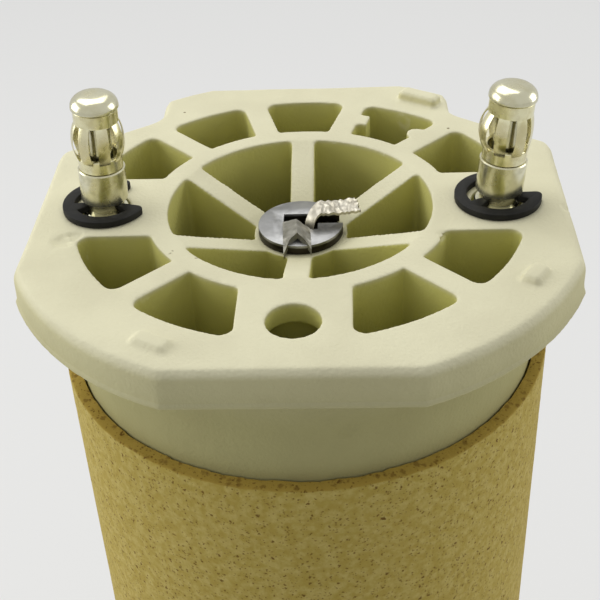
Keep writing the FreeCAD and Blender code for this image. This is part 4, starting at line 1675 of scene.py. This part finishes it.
@dataclass
class SmallParts:
    """The hub washer, the foot washer, and the core that keeps its CAD shape."""

    shop: FinishShop

    def build(self, nodes: dict[str, bpy.types.Object]) -> None:
        """Softens the washers and paints the core.

        Args:
            nodes: The CAD nodes by name.
        """
        hub = Piece("washer_hub")
        hub.take(nodes["hub_washer"])
        self._open_slot(hub, WasherSlot())
        foot = Piece("washer_foot")
        foot.take(nodes["foot_washer"])
        for piece, node, finish in ((hub, "hub_washer", HUB_WASHER_FINISH), (foot, "foot_washer", FOOT_WASHER_FINISH)):
            piece.soften(offset=0.12)
            piece.done(self.shop.get(finish), Slot.WASHER, [node])
        for name in ("core_block_1", "core_block_2", "foot_plate"):
            slots = nodes[name].data.materials
            slots.clear()
            slots.append(self.shop.get(CORE_FINISH))
            LOG.info("%s keeps its CAD shape", name)

    def _open_slot(self, piece: Piece, slot: WasherSlot) -> None:
        """Widens the washer's side slot towards the near side.

        Args:
            piece: The washer.
            slot: The slot's edges.
        """
        for vert in piece.bm.verts:
            if vert.co.x > slot.start_x and slot.near_edge < vert.co.y < slot.cad_edge:
                vert.co.y = slot.near_edge
        bmesh.ops.remove_doubles(piece.bm, verts=piece.bm.verts, dist=0.02)
        bmesh.ops.dissolve_degenerate(piece.bm, dist=0.01, edges=piece.bm.edges)


@dataclass(frozen=True)
class Panel:
    """A soft light panel: where it hangs, how large it is and how strong."""

    name: str
    place: tuple[float, float, float]
    size: Pair
    watts: float


@dataclass(frozen=True)
class StudioLook:
    """The pale sweep and the panels around the element, in millimetres."""

    floor_half: float = 1500.0
    floor_seen: Colour = (0.845, 0.845, 0.840)
    floor_seen_share: float = 0.7
    floor_colour: Colour = (0.62, 0.62, 0.60)
    floor_roughness: float = 0.9
    backdrop_seen: Colour = (0.775, 0.775, 0.770)
    world_strength: float = 0.43
    panels: tuple[Panel, ...] = (
        Panel("panel_top", (-60.0, 130.0, 380.0), (320.0, 260.0), 0.66),
        Panel("panel_left", (-300.0, 20.0, 170.0), (220.0, 220.0), 0.50),
        Panel("panel_right", (290.0, 60.0, 150.0), (160.0, 220.0), 0.3),
    )


@dataclass
class Studio:
    """Floor, light and camera."""

    look: StudioLook
    solve: CameraSolve
    layout: Layout

    def build(self) -> None:
        """Makes the floor, the world, the panels and the camera."""
        self._floor()
        self._world()
        for panel in self.look.panels:
            self._panel(panel)
        self._camera()
        bpy.context.scene.view_settings.view_transform = "Standard"

    def _floor(self) -> None:
        """A level pale sweep that evens out its own tone where it is seen, and keeps the element's shadow."""
        bm = bmesh.new()
        bmesh.ops.create_grid(bm, x_segments=2, y_segments=2, size=self.look.floor_half * MM)
        mesh = bpy.data.meshes.new("studio_floor")
        bm.to_mesh(mesh)
        bm.free()
        floor = bpy.data.objects.new("studio_floor", mesh)
        bpy.context.scene.collection.objects.link(floor)
        material = bpy.data.materials.new("studio_sweep")
        material.use_nodes = True
        work = NodeWork(material.node_tree)
        shader = work.tree.nodes["Principled BSDF"]
        work.put(shader, "Base Color", (*self.look.floor_colour, 1.0))
        work.put(shader, "Roughness", self.look.floor_roughness)
        share = work.math("MULTIPLY", self._seen_ray(work), self.look.floor_seen_share)
        seen = work.node("Emission", {"Color": (*self.look.floor_seen, 1.0)})
        self._show(work, share, shader, seen, "Material Output")
        mesh.materials.append(material)
        floor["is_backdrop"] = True

    def _seen_ray(self, work: NodeWork) -> Socket:
        """A mask of the rays that show the background: the camera's, and those in metal or glass.

        Args:
            work: The node tree to work in.

        Returns:
            The mask's socket.
        """
        rays = work.node("LightPath").outputs
        seen = rays["Is Camera Ray"]
        for name in ("Is Glossy Ray", "Is Transmission Ray"):
            seen = work.math("MAXIMUM", seen, rays[name])
        return seen

    def _show(self, work: NodeWork, share: Socket, lit: bpy.types.Node, seen: bpy.types.Node, output: str) -> None:
        """Shows one shader where a mask says so, and another elsewhere.

        Args:
            work: The node tree to work in.
            share: The mask.
            lit: The shader that gives light and takes shadow.
            seen: The shader that is seen.
            output: The output node's name.
        """
        mix = work.node("MixShader", {0: share, 1: lit.outputs[0], 2: seen.outputs[0]})
        work.put(work.tree.nodes[output], "Surface", mix.outputs[0])

    def _world(self) -> None:
        """An even grey-white room that is seen as the sweep's pale tone."""
        world = bpy.data.worlds.new("studio")
        world.use_nodes = True
        work = NodeWork(world.node_tree)
        background = work.tree.nodes["Background"]
        work.put(background, "Color", (*WHITE, 1.0))
        work.put(background, "Strength", self.look.world_strength)
        backdrop = work.node("Background", {"Color": (*self.look.backdrop_seen, 1.0)})
        self._show(work, self._seen_ray(work), background, backdrop, "World Output")
        bpy.context.scene.world = world

    def _panel(self, panel: Panel) -> None:
        """Hangs a panel so that it faces the head.

        Args:
            panel: The panel.
        """
        lamp = bpy.data.lights.new(panel.name, "AREA")
        lamp.shape = "RECTANGLE"
        lamp.size, lamp.size_y = (s * MM for s in panel.size)
        lamp.energy = panel.watts
        item = bpy.data.objects.new(panel.name, lamp)
        place = Vector(panel.place)
        item.location = place * MM
        aim = Vector((0, 0, self.layout.head_top)) - place
        item.rotation_euler = aim.to_track_quat("-Z", "Y").to_euler()
        bpy.context.scene.collection.objects.link(item)

    def _camera(self) -> None:
        """Puts the camera where the photograph was taken from."""
        solve = self.solve
        ca, sa = math.cos(solve.azimuth), math.sin(solve.azimuth)
        ce, se = math.cos(solve.elevation), math.sin(solve.elevation)
        back = Vector((sa * ce, -ca * ce, se))
        level = Vector((ca, sa, 0))
        up = back.cross(level)
        cr, sr = math.cos(solve.roll), math.sin(solve.roll)
        right = cr * level + sr * up
        above = cr * up - sr * level
        place = solve.aim_right * right + solve.aim_up * above + solve.distance * back
        place += Vector((0, 0, self.layout.head_top))
        data = bpy.data.cameras.new("camera")
        data.sensor_width = solve.sensor
        data.lens = solve.sensor * solve.focal_px / solve.picture_px
        data.clip_start = solve.clip_start * MM
        data.clip_end = solve.clip_end * MM
        camera = bpy.data.objects.new("camera", data)
        turn = Matrix((right, above, back)).transposed().to_4x4()
        camera.matrix_world = Matrix.Translation(place * MM) @ turn
        bpy.context.scene.collection.objects.link(camera)
        bpy.context.scene.camera = camera


def main() -> None:
    """Builds the dressed element and its studio."""
    logging.basicConfig(level=logging.INFO, format="%(message)s")
    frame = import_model()
    nodes = frame["nodes"]
    layout = Layout.read()
    shop = FinishShop()
    lean = Lean()
    core_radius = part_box("core_block_1")[1].x / MM
    HeadCasting(HeadDress(), layout, shop).build(nodes["ceramic_head"])
    FibreSleeve(SleeveDress(), shop).build(core_radius)
    for side in Side:
        Terminal(side, layout, lean, shop).build(nodes)
    winding = Winding(CoilShape(), layout, lean, shop)
    winding.build("heater_coil_front", "heater_winding_front", False)
    winding.build("heater_coil_back", "heater_winding_back", True)
    Strap(StrapShape(), shop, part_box("hub_washer")[1].z / MM).build(nodes["tie_strap"])
    SmallParts(shop).build(nodes)
    Studio(StudioLook(), CameraSolve(), layout).build()


if __name__ == "__main__":
    main()
